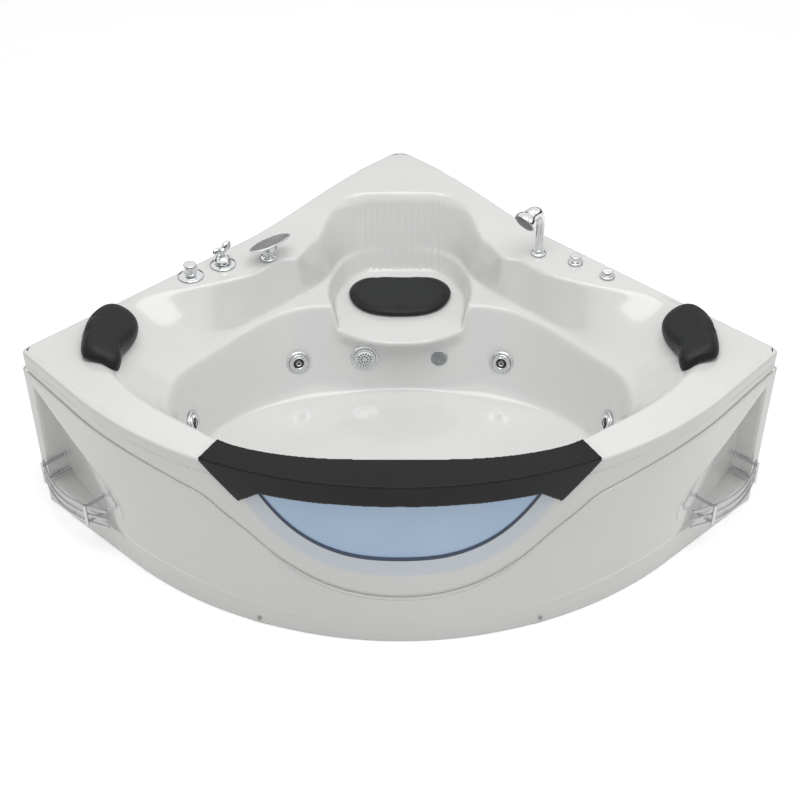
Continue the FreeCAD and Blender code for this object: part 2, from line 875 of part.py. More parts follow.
def make_screws_and_blocks():
    """Four screws with caps through the panel's foot, and the blocks they bite."""
    head = size("screw_head_radius")
    thick = size("panel_thickness")
    screws, blocks, holes = [], [], []
    reach = 34.0
    for x in SCREW_X:
        face, normal = panel_hit(x)
        screw = Part.makeCylinder(head, 2.5, face + normal * 2 * GAP, normal)
        shank = Part.makeCylinder(head * 0.4, thick + 22, face - normal * (thick + 20), normal)
        screws.append(screw.fuse(shank))
        wide = 2 * (head * 0.4 + GAP)
        slot = Part.makeBox(wide, wide, thick * 3, Vector(-wide / 2, -wide / 2, -thick * 2))
        slot.Placement = Placement(face, facing(normal))
        holes.append(slot)
        height = face.z + 20
        block = Part.makeBox(reach, 46, height, Vector(-reach - thick - 4 * GAP, -23, -face.z))
        turn = math.degrees(math.atan2(normal.y, normal.x))
        block.Placement = Placement(face, Rotation(UP, turn))
        blocks.append(block.cut(shank))
    return screws, blocks, holes


screws, blocks, screw_holes = make_screws_and_blocks()
panel_shape = make_panel()
for cutter in screw_holes:
    panel_shape = panel_shape.cut(cutter)
feature("front_panel", panel_shape)
feature("panel_screws", Part.makeCompound(screws))
feature("panel_floor_blocks", Part.makeCompound(blocks))


# ---------------------------------------------------------------- racks


def rail_out(along):
    """How far a rack rail stands out of the panel's line at one point."""
    half = 160.0
    share = (along - 196.0) / half
    return 14 + size("rack_bow") * (1 - share * share)


def make_rack(side):
    """Three bowed rails on two posts, held off the niche by four arms."""
    rod = size("rack_rod_radius")
    top = -size("rack_rail_drop")
    pitch = size("rack_rail_pitch")
    posts = (54.0, 54.0 + size("rack_post_span"))
    pieces = []
    for step in range(3):
        level = top - pitch * step
        ends = [end_place(side, along, rail_out(along), level) for along in (36, 196, 356)]
        path = Part.Wire([Part.Arc(*ends).toShape()])
        start = path.Edges[0]
        tangent = start.tangentAt(start.FirstParameter)
        ring = Part.Wire([Part.makeCircle(rod, ends[0], tangent)])
        pieces.append(path.makePipeShell([ring], True, True))
    for along in posts:
        out = rail_out(along) + rod * 1.4
        foot = end_place(side, along, out, top - 2 * pitch - 8)
        pieces.append(Part.makeCylinder(rod * 1.25, 2 * pitch + 16, foot, UP))
        for step in (0, 2):
            level = top - pitch * step
            start = end_place(side, along, out, level)
            inward = end_direction(side, 0, -1, 0)
            pieces.append(Part.makeCylinder(rod * 0.9, 130, start, inward))
    whole = pieces[0].multiFuse(pieces[1:])
    hollow = niche_form(side, 0.0).fuse(niche_front(side))
    return whole.common(hollow)


def niche_front(side):
    """The open air in front of a niche."""
    corners = [(10, 12), (10, 150), (500, 150), (500, 12)]
    points = [end_place(side, along, out, -size("rack_rail_drop") - 140) for along, out in corners]
    face = Part.Face(Part.makePolygon(points + points[:1]))
    return face.extrude(Vector(0, 0, 300))


for side, name in ((-1, "rack_left"), (1, "rack_right")):
    feature(name, make_rack(side))


# ---------------------------------------------------------------- soft pieces


def spline_ring(points):
    """A closed smooth wire through points in space."""
    curve = Part.BSplineCurve()
    curve.interpolate(points, PeriodicFlag=True)
    return Part.Wire([curve.toShape()])


def air_above_shell(gap):
    """The room above the deck and inside the well, kept a gap off the shell."""
    rise = size("corner_rise")
    box = plan_prism([(-HALF_WIDTH, 0), (HALF_WIDTH, 0), (HALF_WIDTH, 1700), (-HALF_WIDTH, 1700)],
                     -size("floor_drop"), rise * 3)
    ground = box.common(deck_profile(-gap))
    for hollow in well_solid(-gap, -gap, rise * 2)[:2]:
        ground = ground.cut(hollow)
    return ground


def make_pillow(side):
    """Kidney-shaped head pillow, draped over the well's edge at one end."""
    length = size("pillow_length")
    thick = size("pillow_thickness")
    across = length * 0.26
    # outline: (into the well, towards the front), as shares of half sizes
    outline = [(-0.15, -0.98), (0.45, -0.92), (0.93, -0.66), (1.05, -0.30), (0.88, 0.10)]
    outline += [(0.70, 0.50), (0.66, 0.88), (0.38, 1.03), (-0.10, 0.96), (-0.62, 0.86)]
    outline += [(-0.92, 0.45), (-0.95, 0.0), (-0.80, -0.50), (-0.52, -0.84)]
    centre = at(side * (HALF_WIDTH - 246), HALF_WIDTH - 62, 4)
    lean = math.radians(24)
    inward = Vector(-side * math.cos(lean), 0, -math.sin(lean))
    forward = Vector(0, -1, 0)
    out = Vector(-side * math.sin(lean), 0, math.cos(lean))
    wires = []
    for scale, height in ((0.97, -thick * 0.9), (1.0, thick * 0.10), (0.93, thick * 0.42), (0.68, thick * 0.60)):
        ring = [
            centre + inward * (u * across * scale) + forward * (v * length / 2 * scale) + out * height
            for u, v in outline
        ]
        wires.append(spline_ring(ring))
    body = Part.makeLoft(wires, True, False)
    return body


soft_ground = air_above_shell(size("soft_gap"))
for side, name in ((-1, "head_pillow_left"), (1, "head_pillow_right")):
    pillow = make_pillow(side).cut(soft_ground)
    pillow = max(pillow.Solids, key=lambda solid: solid.Volume)
    feature(name, pillow)


def make_pad():
    """Crowned D-shaped seat cushion with a slight dip in its back edge."""
    half = size("pad_half_width")
    deep = size("pad_depth")
    thick = size("pad_thickness")
    back = size("seat_back_depth") + 48
    low = -size("seat_drop") + size("soft_gap")
    outline = [(0, 0.03), (-0.36, 0.0), (-0.78, 0.05), (-0.99, 0.28), (-0.97, 0.56)]
    outline += [(-0.72, 0.85), (-0.38, 0.97), (0, 1.0)]
    wires = []
    for scale, height in ((0.955, 0.0), (1.0, 0.45), (0.95, 0.86), (0.80, 1.0)):
        points = [(x * half * scale, back + deep / 2 + (d - 0.5) * deep * scale) for x, d in outline]
        wires.append(closed_spline(points, low + thick * height))
    return Part.makeLoft(wires, True, False)


feature("seat_pad", make_pad())


# ---------------------------------------------------------------- deck taps


def fitting_base(label, place, flange, height, bore, bore_depth, tail_length):
    """Deck flange with its tail through the shell and a nut under the deck."""
    tail = cell("tail_radius")
    wall = cell("shell_wall")
    gap = cell("running_gap")
    nut = tail + 9
    low = -wall - gap
    corners = [
        (0.0, -tail_length),
        (tail, -tail_length),
        (tail, low - 10),
        (nut, low - 10),
        (nut, low),
        (tail, low),
        (tail, 0.0),
        (flange, 0.0),
        (flange, height * 0.4),
        (flange - height * 0.35, height * 0.82),
        (flange - height * 0.9, height),
        (bore, height),
        (bore, height - bore_depth),
        (0.0, height - bore_depth),
    ]
    return turned(label, corners, place)


flange = cell("flange_radius")
stem = 9.0
FLANGE_HEIGHT = 9.0
STEM_DEPTH = 14.0
fitting_base("diverter_base", TAPS["diverter"], flange, Length(9, "9"), stem, STEM_DEPTH, 70.0)
fitting_base("mixer_base", TAPS["mixer"], flange, Length(9, "9"), stem, STEM_DEPTH, 70.0)

knob = cell("diverter_knob_radius")
knob_height = cell("diverter_knob_height")
gap = cell("running_gap")
spindle = stem - 0.05
turned(
    "diverter_knob",
    [
        (0.0, -STEM_DEPTH + FLANGE_HEIGHT + 0.3),
        (spindle, -STEM_DEPTH + FLANGE_HEIGHT + 0.3),
        (spindle, gap + FLANGE_HEIGHT),
        (knob - 2, gap + FLANGE_HEIGHT),
        (knob, gap + FLANGE_HEIGHT + 2),
        (knob, gap + FLANGE_HEIGHT + knob_height - 3),
        (knob - 3, gap + FLANGE_HEIGHT + knob_height),
        (0.0, gap + FLANGE_HEIGHT + knob_height),
    ],
    TAPS["diverter"],
)

dome = cell("mixer_dome_radius")
DOME_TOP = FLANGE_HEIGHT + 22
LEVER_AXIS = Vector(ROOT_HALF, ROOT_HALF, 0)
LEVER_PIVOT = TAPS["mixer"] + UP * (DOME_TOP + GAP + 2)
BARREL_RADIUS = 6.0
BARREL_LENGTH = 14.0
dome_form = turned(
    "mixer_dome_form",
    [
        (0.0, -STEM_DEPTH + FLANGE_HEIGHT + 0.3),
        (spindle, -STEM_DEPTH + FLANGE_HEIGHT + 0.3),
        (spindle, gap + FLANGE_HEIGHT),
        (dome - 1, gap + FLANGE_HEIGHT),
        (dome, gap + FLANGE_HEIGHT + 3),
        (dome * 0.93, gap + FLANGE_HEIGHT + 10),
        (dome * 0.74, gap + FLANGE_HEIGHT + 17),
        (dome * 0.50, gap + DOME_TOP),
        (0.0, gap + DOME_TOP),
    ],
    TAPS["mixer"],
    keep=False,
)
doc.recompute()


def barrel(radius, length):
    """Round form on the lever's tilting axis."""
    return Part.makeCylinder(radius, length, LEVER_PIVOT - LEVER_AXIS * (length / 2), LEVER_AXIS)


feature("mixer_dome", dome_form.Shape.cut(barrel(BARREL_RADIUS + 0.05, BARREL_LENGTH + 0.4)))


def make_lever():
    """Two-lobed leaf lever whose foot is a barrel in the mixer's dome."""
    foot = DOME_TOP + 2 * GAP
    place = TAPS["mixer"]
    across = LEVER_AXIS
    neck = Part.makeCylinder(5, 14, LEVER_PIVOT, UP)
    neck = neck.fuse(Part.makeSphere(9, place + UP * (foot + 16)))
    neck = neck.fuse(barrel(BARREL_RADIUS, BARREL_LENGTH))
    lobes = []
    for sign in (-1, 1):
        lobe = Part.makeSphere(12)
        grow = FreeCAD.Matrix()
        grow.scale(1.0, 0.62, 1.25)
        lobe = lobe.transformGeometry(grow)
        lobe.rotate(Vector(0, 0, 0), Vector(0, 1, 0), sign * 28)
        lobe.rotate(Vector(0, 0, 0), UP, 45)
        lobe.translate(place + across * (sign * 13) + UP * (foot + 20 + sign * 3))
        lobes.append(lobe)
    return neck.multiFuse(lobes)


feature("mixer_lever", make_lever())


def make_spout():
    """Waterfall spout: swept pedestal and the tilted oval plate it feeds."""
    place = TAPS["spout"]
    along = Vector(ROOT_HALF, ROOT_HALF, 0)
    into = Vector(ROOT_HALF, -ROOT_HALF, 0)
    long_half = size("spout_length") / 2
    short_half = size("spout_width") / 2
    centre = place + into * 14 + UP * 60
    tilt = Rotation(along, -16)
    plate = Part.makeCylinder(short_half, 7)
    stretch = FreeCAD.Matrix()
    stretch.scale(long_half / short_half, 1, 1)
    plate = plate.transformGeometry(stretch)
    turn = Rotation(Vector(0, 0, 1), 45)
    plate.Placement = Placement(centre - UP * 3, tilt * turn)
    low = Part.Wire([Part.makeCircle(17, place + UP * 8, UP)])
    mid = Part.Wire([Part.makeCircle(14, place + UP * 28 + into * 2, UP)])
    high_normal = tilt.multVec(UP)
    high = Part.Wire([Part.makeCircle(24, centre - high_normal * (3 + GAP) - into * 2, high_normal)])
    pedestal = Part.makeLoft([low, mid, high], True, False)
    flange_disc = Part.makeCylinder(26, 8, place, UP)
    tail = Part.makeCylinder(size("tail_radius"), 50, place, DOWN)
    nut = Part.makeCylinder(size("tail_radius") + 9, 10, place - UP * (WALL + GAP), DOWN)
    pedestal = pedestal.multiFuse([flange_disc, tail, nut])
    plate = plate.cut(pedestal)
    return pedestal, plate


spout_shape, plate_shape = make_spout()
feature("spout_pedestal", spout_shape)
feature("spout_plate", plate_shape)


# ---------------------------------------------------------------- hand shower


handle = cell("handle_radius")
HOLDER_HEIGHT = 16.0
SOCKET_DEPTH = 40.0
socket = handle + gap
holder_flange = cell("holder_radius")
tail = cell("tail_radius")
wall = cell("shell_wall")
turned(
    "handshower_holder",
    [
        (socket, -SOCKET_DEPTH + HOLDER_HEIGHT),
        (tail, -SOCKET_DEPTH + HOLDER_HEIGHT),
        (tail, -wall - gap - 10),
        (tail + 9, -wall - gap - 10),
        (tail + 9, -wall - gap),
        (tail, -wall - gap),
        (tail, 0.0),
        (holder_flange, 0.0),
        (holder_flange, 5.0),
        (tail + 3, 9.0),
        (tail + 2, HOLDER_HEIGHT),
        (socket, HOLDER_HEIGHT),
    ],
    TAPS["holder"],
)


def make_shower():
    """Hand shower: straight grip, arched neck and a round head facing the tub."""
    place = TAPS["holder"]
    radius = size("handle_radius")
    head = size("shower_head_radius")
    height = size("shower_height")
    toward = Vector(-0.82, -0.57, 0)
    toward.normalize()
    seat = place - UP * (SOCKET_DEPTH - HOLDER_HEIGHT - 2)
    straight = height - 62
    stem_top = place + UP * straight
    grip = Part.makeCylinder(radius, (stem_top - seat).Length, seat, UP)
    aim = toward * 0.62 - UP * 0.78
    aim.normalize()
    centre = stem_top + toward * 56 + UP * 28
    end = centre - aim * 12
    bend = Part.BSplineCurve()
    bend.interpolate([stem_top, stem_top + toward * 17 + UP * 36, end], InitialTangent=UP, FinalTangent=aim)
    path = Part.Wire([bend.toShape()])
    ring = Part.Wire([Part.makeCircle(radius, stem_top, UP)])
    neck = path.makePipeShell([ring], True, True)
    bell = Part.makeCone(radius * 1.3, head, 22, centre - aim * 14, aim)
    rim = Part.makeCylinder(head, 7, centre + aim * 8, aim)
    whole = grip.multiFuse([neck, bell, rim])
    recess = Part.makeCylinder(head - 4, 3, centre + aim * 12, aim)
    whole = whole.cut(recess)
    face = Part.makeCylinder(head - 4.2, 2.6, centre + aim * 12.2, aim)
    studs = []
    for count, reach in ((6, 0.32), (12, 0.62), (18, 0.86)):
        for step in range(count):
            angle = 2 * math.pi * step / count
            spot = Vector(math.cos(angle), math.sin(angle), 0) * ((head - 7) * reach)
            spot = facing(aim).multVec(spot)
            studs.append(Part.makeCylinder(1.4, 3.6, centre + aim * 12.4 + spot, aim))
    face = face.multiFuse(studs)
    return whole, face


shower_shape, spray_shape = make_shower()
feature("handshower_body", shower_shape)
feature("handshower_spray_face", spray_shape)


# ---------------------------------------------------------------- deck controls


control_flange = cell("control_flange_radius")
control_knob = cell("control_knob_radius")
control_height = cell("control_knob_height")
travel = cell("button_travel")
for label, place, length in (
    ("air_switch_bezel", TAPS["switch"], 46.0),
    ("air_regulator_bezel", TAPS["regulator"], 46.0),
):
    turned(
        label,
        [
            (0.0, -length),
            (tail, -length),
            (tail, -wall - gap - 8),
            (tail + 7, -wall - gap - 8),
            (tail + 7, -wall - gap),
            (tail, -wall - gap),
            (tail, 0.0),
            (control_flange, 0.0),
            (control_flange, 3.0),
            (control_flange - 2, 6.0),
            (control_knob + gap, 6.0),
            (control_knob + gap, 2.0),
            (tail - 4, 2.0),
            (tail - 4, -16.0),
            (0.0, -16.0),
        ],
        place,
    )
turned(
    "air_switch_button",
    [
        (0.0, travel - 15),
        (tail - 4.05, travel - 15),
        (tail - 4.05, travel + 2.3),
        (control_knob, travel + 2.3),
        (control_knob, control_height),
        (control_knob - 3, control_height + 2),
        (0.0, control_height + 2.6),
    ],
    TAPS["switch"],
)


def make_regulator_knob():
    """Plain knob that lets air into the jets, with a marker ridge on top."""
    radius = size("control_knob_radius")
    height = size("control_knob_height")
    place = TAPS["regulator"]
    stem_radius = size("tail_radius") - 4.05
    stem = Part.makeCylinder(stem_radius, 18, place - UP * 15.6, UP)
    grip = Part.makeCylinder(radius, height - 2.3, place + UP * 2.3, UP)
    ridge = Part.makeBox(radius * 1.5, 3, 2)
    ridge.Placement = Placement(place + Vector(-radius * 0.75, -1.5, height), Rotation())
    return grip.multiFuse([stem, ridge])


feature("air_regulator_knob", make_regulator_knob())


# ---------------------------------------------------------------- jets


jet_face = cell("jet_face_radius")
jet_body = cell("jet_body_radius")
jet_length = cell("jet_body_length")
BALL = 15.0
for name, (place, normal) in JETS.items():
    turned(
        name + "_body",
        [
            (0.0, -jet_length),
            (jet_body, -jet_length),
            (jet_body, -wall - gap - 14),
            (jet_body + 8, -wall - gap - 14),
            (jet_body + 8, -wall - gap - 4),
            (jet_body, -wall - gap - 4),
            (jet_body, SEAT),
            (jet_face, SEAT),
            (jet_face, SEAT + 1.5),
            (jet_face - 3, SEAT + 3.5),
            (jet_face - 8.7, SEAT + 3.5),
            (jet_face - 8.7, SEAT + 1.0),
            (BALL + 2, SEAT + 1.0),
            (BALL + 2, -20.0),
            (5.0, -20.0),
            (5.0, -jet_length + 8),
            (0.0, -jet_length + 8),
        ],
        place,
        normal,
    )
    turned(
        name + "_ring",
        [
            (BALL + 0.6, SEAT + 1.4),
            (jet_face - 9, SEAT + 1.4),
            (jet_face - 9, SEAT + 4.5),
            (jet_face - 12, SEAT + 6.5),
            (BALL + 2.2, SEAT + 6.5),
            (BALL + 0.6, SEAT + 5.0),
        ],
        place,
        normal,
    )
    ball = Part.makeSphere(BALL, place, normal, -50, 50, 360)
    bore = Part.makeCylinder(5, 60, place - normal * 30, normal)
    feature(name + "_nozzle", ball.cut(bore))


# ---------------------------------------------------------------- suction and light


suction_face = cell("suction_radius")
turned(
    "suction_body",
    [
        (jet_body - 4, -60.0),
        (jet_body, -60.0),
        (jet_body, -wall - gap - 14),
        (jet_body + 8, -wall - gap - 14),
        (jet_body + 8, -wall - gap - 4),
        (jet_body, -wall - gap - 4),
        (jet_body, SEAT),
        (suction_face, SEAT),
        (suction_face, SEAT + 2),
        (suction_face - 4, SEAT + 5),
        (suction_face - 9, SEAT + 5),
        (suction_face - 9, SEAT + 2),
        (jet_body - 4, SEAT + 2),
    ],
    SUCTION[0],
    SUCTION[1],
)


def make_grille():
    """Domed suction cover with rings of round holes and a centre screw."""
    place, normal = SUCTION
    radius = size("suction_radius") - 9.3
    cover = Part.makeCylinder(radius, 5, place + normal * (SEAT + 2.3), normal)
    crown = Part.makeCone(radius * 0.72, radius * 0.55, 4, place + normal * (SEAT + 7.3), normal)
    cover = cover.fuse(crown)
    cutters = []
    for count, reach, bore in ((8, 0.30, 2.6), (14, 0.56, 2.6), (22, 0.84, 2.2)):
        for step in range(count):
            angle = 2 * math.pi * step / count
            spot = Vector(math.cos(angle), math.sin(angle), 0) * (radius * reach)
            spot = facing(normal).multVec(spot)
            cutters.append(Part.makeCylinder(bore, 30, place + spot - normal * 5, normal))
    cover = cover.cut(Part.makeCompound(cutters))
    head = Part.makeCylinder(3.5, 2.5, place + normal * (SEAT + 11.3), normal)
    return cover.fuse(head)


feature("suction_grille", make_grille())
light_face = cell("light_radius")
turned(
    "light_body",
    [
        (0.0, -42.0),
        (tail, -42.0),
        (tail, -wall - gap - 12),
        (tail + 7, -wall - gap - 12),
        (tail + 7, -wall - gap - 3),
        (tail, -wall - gap - 3),
        (tail, SEAT),
        (light_face, SEAT),
        (light_face, SEAT + 2),
        (light_face - 2, SEAT + 4),
        (light_face - 5, SEAT + 4),
        (light_face - 5, SEAT + 2),
        (0.0, SEAT + 2),
    ],
    LIGHT[0],
    LIGHT[1],
)
turned(
    "light_lens",
    [
        (0.0, SEAT + 2.1),
        (light_face - 5.3, SEAT + 2.1),
        (light_face - 5.3, SEAT + 4),
        (light_face - 9, SEAT + 6.5),
        (0.0, SEAT + 7.5),
    ],
    LIGHT[0],
    LIGHT[1],
)


# ---------------------------------------------------------------- drain


drain = cell("drain_radius")
waste = cell("waste_radius")
lift = cell("drain_lift")
WASTE_LENGTH = 78.0
turned(
    "drain_body",
    [
        (waste - 2, -WASTE_LENGTH),
        (waste, -WASTE_LENGTH),
        (waste, -wall - gap - 26),
        (waste + 4, -wall - gap - 26),
        (waste + 4, -wall - gap - 14),
        (waste + 16, -wall - gap - 14),
        (waste + 16, -wall - gap),
        (waste + 4, -wall - gap),
        (waste + 4, 0.3),
        (drain, 0.3),
        (drain, 1.5),
        (drain - 2, 3.0),
        (waste, 1.8),
        (waste, -14.0),
        (waste - 2, -14.0),
    ],
    DRAIN,
)


def make_plug():
    """Lifting plug: low dome, and crossed guide fins that run in the waste."""
    radius = size("waste_radius")
    guide = radius - 2 - 0.05
    disc = Part.makeCylinder(size("drain_radius") - 9, 1.6, DRAIN + UP * 3.4, UP)
    dome = Part.makeCone(size("drain_radius") - 9, size("drain_radius") - 14, 2.5, DRAIN + UP * 5, UP)
    neck = Part.makeCylinder(radius - 4, 14.4, DRAIN - UP * 11, UP)
    fins = [Part.makeBox(60, 3, 34, DRAIN + Vector(-30, -1.5, -34))]
    fins.append(Part.makeBox(3, 60, 34, DRAIN + Vector(-1.5, -30, -34)))
    round_guide = Part.makeCylinder(guide, 34, DRAIN - UP * 34, UP)
    cross = fins[0].fuse(fins[1]).common(round_guide)
    return disc.multiFuse([dome, neck, cross])


feature("drain_plug", make_plug())


# ---------------------------------------------------------------- pump


PUMP_LEVEL = JET_LEVEL
PUMP = at(0, size("pump_depth"), PUMP_LEVEL)
VOLUTE_WIDTH = 56.0
VOLUTE_X = -150.0
ALONG_X = Vector(1, 0, 0)
PORT_LEVEL = PUMP_LEVEL - size("volute_radius") + size("water_pipe_radius")
MANIFOLD_DEPTH = size("lower_back_depth") - 52


def make_volute():
    """Pump's wet end: round casing, inlet on its axis, outlet at its foot."""
    outer = size("volute_radius")
    pipe = size("water_pipe_radius")
    inlet = size("suction_pipe_radius")
    start = PUMP + ALONG_X * VOLUTE_X
    casing = Part.makeCylinder(outer, VOLUTE_WIDTH, start, ALONG_X)
    neck = Part.makeCylinder(inlet, 26, start - ALONG_X * 26, ALONG_X)
    outlet_start = start + ALONG_X * (VOLUTE_WIDTH / 2) + Vector(0, 0, PORT_LEVEL - PUMP_LEVEL)
    outlet = Part.makeCylinder(pipe + 4, outer + 12, outlet_start, Vector(0, -1, 0))
    casing = casing.multiFuse([neck, outlet])
    room = Part.makeCylinder(outer - 6, VOLUTE_WIDTH - 12, start + ALONG_X * 6, ALONG_X)
    eye = Part.makeCylinder(inlet - 4, 40, start - ALONG_X * 27, ALONG_X)
    spout = Part.makeCylinder(pipe - 2, outer + 14, outlet_start, Vector(0, -1, 0))
    shaft_hole = Part.makeCylinder(7.0, 20, start + ALONG_X * (VOLUTE_WIDTH - 10), ALONG_X)
    for hollow in (room, eye, spout, shaft_hole):
        casing = casing.cut(hollow)
    return casing


feature("pump_casing", make_volute())


def make_impeller():
    """Closed impeller with curved vanes on the motor's shaft."""
    outer = size("volute_radius") - 14
    start = PUMP + ALONG_X * (VOLUTE_X + 14)
    disc = Part.makeCylinder(outer, 5, start + ALONG_X * 20, ALONG_X)
    hub = Part.makeCylinder(14, 24, start + ALONG_X * 1, ALONG_X)
    shaft = Part.makeCylinder(6.95, 86, start + ALONG_X * 20, ALONG_X)
    pieces = [hub, shaft]
    for step in range(6):
        vane = Part.makeBox(18, 4, outer - 12, Vector(2, -2, 10))
        vane.rotate(Vector(0, 0, 0), ALONG_X, 60 * step)
        vane.translate(start)
        pieces.append(vane)
    return disc.multiFuse(pieces)


feature("pump_impeller", make_impeller())


def make_motor():
    """Ribbed motor can on a foot that stands on the frame's rear beam."""
    radius = size("motor_radius")
    length = size("motor_length")
    start = PUMP + ALONG_X * (VOLUTE_X + VOLUTE_WIDTH)
    can = Part.makeCylinder(radius, length, start, ALONG_X)
    pieces = []
    for step in range(14):
        rib = Part.makeBox(length - 50, 3, 6, Vector(25, -1.5, radius - 1))
        rib.rotate(Vector(0, 0, 0), ALONG_X, 360 * (step + 0.5) / 14)
        rib.translate(start)
        pieces.append(rib)
    box = Part.makeBox(80, 70, 34, start + Vector(60, -35, radius - 12))
    foot_top = FRAME_TOP
    height = PUMP_LEVEL - foot_top
    foot = Part.makeBox(130, 90, height, at(0, size("pump_depth") + 45, foot_top) + Vector(-50, 0, 0))
    whole = can.multiFuse(pieces + [box, foot])
    bore = Part.makeCylinder(7.0, 70, start - ALONG_X * 1, ALONG_X)
    return whole.cut(bore)


FRAME_TOP = -size("floor_drop") - WALL
feature("pump_motor", make_motor())


# ---------------------------------------------------------------- pipes


def pipe_run(points, radius):
    """A rigid pipe with its elbows: outer form along straight runs."""
    pieces = []
    for start, end in zip(points, points[1:]):
        pieces.append(Part.makeCylinder(radius, (end - start).Length, start, end - start))
    for corner in points[1:-1]:
        pieces.append(Part.makeSphere(radius, corner))
    return pieces


def hollow_pipe(routes, radius):
    """Several joined runs as one pipe with its bore."""
    outer, inner = [], []
    for route in routes:
        outer += pipe_run(route, radius)
        inner += pipe_run(route, radius - size("pipe_wall"))
    return outer[0].multiFuse(outer[1:]).cut(inner[0].multiFuse(inner[1:]))


def jet_port(name, reach):
    """Where a pipe meets a jet's body, behind the wall."""
    place, normal = JETS[name]
    return place - normal * reach


def round_basin(share, away, level, knees):
    """Pipe route behind the lower well, from jet to jet."""
    outline = lower_points(share, away)
    left = [at(x, depth, level) for x, depth in outline[3:5]]
    back = [at(x, depth, level) for x, depth in outline[:2]]
    right = [Vector(-q.x, q.y, q.z) for q in left]
    back_right = Vector(-back[1].x, back[1].y, back[1].z)
    return [knees[0]] + left[::-1] + [knees[1], back[1], back[0], back_right, knees[2]] + right + [knees[3]]


def clear_of_jets(pipe):
    """Shape a pipe's ports to the round jet bodies that they meet."""
    for place, normal in JETS.values():
        pipe = pipe.cut(hole(place, normal, size("jet_body_radius") + GAP, size("jet_body_length") + 4))
    return max(pipe.Solids, key=lambda solid: solid.Volume)


def make_pressure_pipe():
    """Water pipe from the pump to the four jets."""
    radius = size("water_pipe_radius")
    level = DECK + PORT_LEVEL
    ports = [jet_port(name, 41) for name in JETS]
    knees = [Vector(port.x, port.y, level) for port in ports]
    route = round_basin(0.42, 46, PORT_LEVEL, knees)
    risers = [[knee, port] for knee, port in zip(knees, ports)]
    feed_x = VOLUTE_X + VOLUTE_WIDTH / 2
    start = at(feed_x, size("pump_depth") + size("volute_radius") + 12 + GAP, PORT_LEVEL)
    before, after = route[4], route[5]
    share = (feed_x - before.x) / (after.x - before.x)
    tee = before + (after - before) * share
    return clear_of_jets(hollow_pipe([route, [start, tee]] + risers, radius))


feature("pressure_pipe", make_pressure_pipe())


def make_suction_pipe():
    """Pipe from the suction fitting round to the pump's inlet."""
    radius = size("suction_pipe_radius")
    place, normal = SUCTION
    start = place - normal * (60 + GAP)
    knee = start - normal * 34
    inlet = PUMP + ALONG_X * (VOLUTE_X - 26 - GAP)
    side_x = inlet.x - 62
    second = Vector(side_x, knee.y, knee.z)
    third = Vector(side_x, inlet.y, inlet.z)
    return hollow_pipe([[start, knee, second, third, inlet]], radius)


feature("suction_pipe", make_suction_pipe())


def make_air_pipe():
    """Small pipe that brings air from the regulator to the jets."""
    radius = size("air_pipe_radius")
    above = 62
    level = DECK + JET_LEVEL + above
    ports = [jet_port(name, 45) for name in JETS]
    knees = [Vector(port.x, port.y, level) for port in ports]
    route = round_basin(0.0, 40, JET_LEVEL + above, knees)
    risers = [[knee, port] for knee, port in zip(knees, ports)]
    valve = TAPS["regulator"] - UP * (46 + GAP)
    tee = route[8]
    low = Vector(valve.x, valve.y, level)
    return clear_of_jets(hollow_pipe([route, [valve, low, tee]] + risers, radius))


feature("air_pipe", make_air_pipe())


def make_mixer_valve():
    """Valve body under the mixer, with hot and cold inlet tails."""
    place = TAPS["mixer"] - UP * (70 + GAP)
    body = Part.makeCylinder(26, 60, place, DOWN)
    along = Vector(ROOT_HALF, ROOT_HALF, 0)
    pieces = []
    for sign in (-1, 1):
        elbow = place - UP * 40 + along * (sign * 38)
        pieces.append(Part.makeCylinder(10, 38, place - UP * 40, along * sign))
        pieces.append(Part.makeCylinder(14, 30, elbow + UP * 14, DOWN))
        pieces.append(Part.makeCylinder(size("inlet_radius"), 56, elbow, DOWN))
    return body.multiFuse(pieces)


feature("mixer_valve", make_mixer_valve())


def make_fill_pipe():
    """Pipe from the mixer's valve by the diverter to the spout."""
    radius = 9.0
    valve = TAPS["mixer"] - UP * 84
    into = Vector(ROOT_HALF, -ROOT_HALF, 0)
    diverter = TAPS["diverter"] - UP * (70 + GAP)
    spout = TAPS["spout"] - UP * (50 + GAP)
    level = DECK - 84
    knee_a = Vector(diverter.x, diverter.y, level)
    start_a = valve + (knee_a - valve).normalize() * (26 + GAP)
    knee_b = Vector(spout.x, spout.y, level)
    start_b = valve + (knee_b - valve).normalize() * (26 + GAP)
    first = hollow_pipe([[start_a, knee_a, diverter]], radius)
    second = hollow_pipe([[start_b, knee_b, spout]], radius)
    return Part.makeCompound([first, second])


feature("fill_pipes", make_fill_pipe())


# ---------------------------------------------------------------- frame and feet


FRAME_HALF = HALF_WIDTH * 0.44
FRAME_BACK = size("floor_back_depth") + 60
FRAME_FRONT = size("front_depth") - size("front_rim_width") - 240
BACK_FOOT = 245.0
FOOT_PLACES = [
    (-FRAME_HALF + 20, FRAME_BACK + 60),
    (FRAME_HALF - 20, FRAME_BACK + 60),
    (-FRAME_HALF + 20, FRAME_FRONT - 30),
    (FRAME_HALF - 20, FRAME_FRONT - 30),
    (0.0, BACK_FOOT),
]
STEM_REACH = 70.0
PAD_HEIGHT = 12.0


def beam(x_low, x_high, depth_low, depth_high):
    """A frame tube, square in section, on the underside of the tub."""
    tube = size("frame_tube")
    corner = at(x_low, depth_high, FRAME_TOP - tube)
    return Part.makeBox(x_high - x_low, depth_high - depth_low, tube, corner)


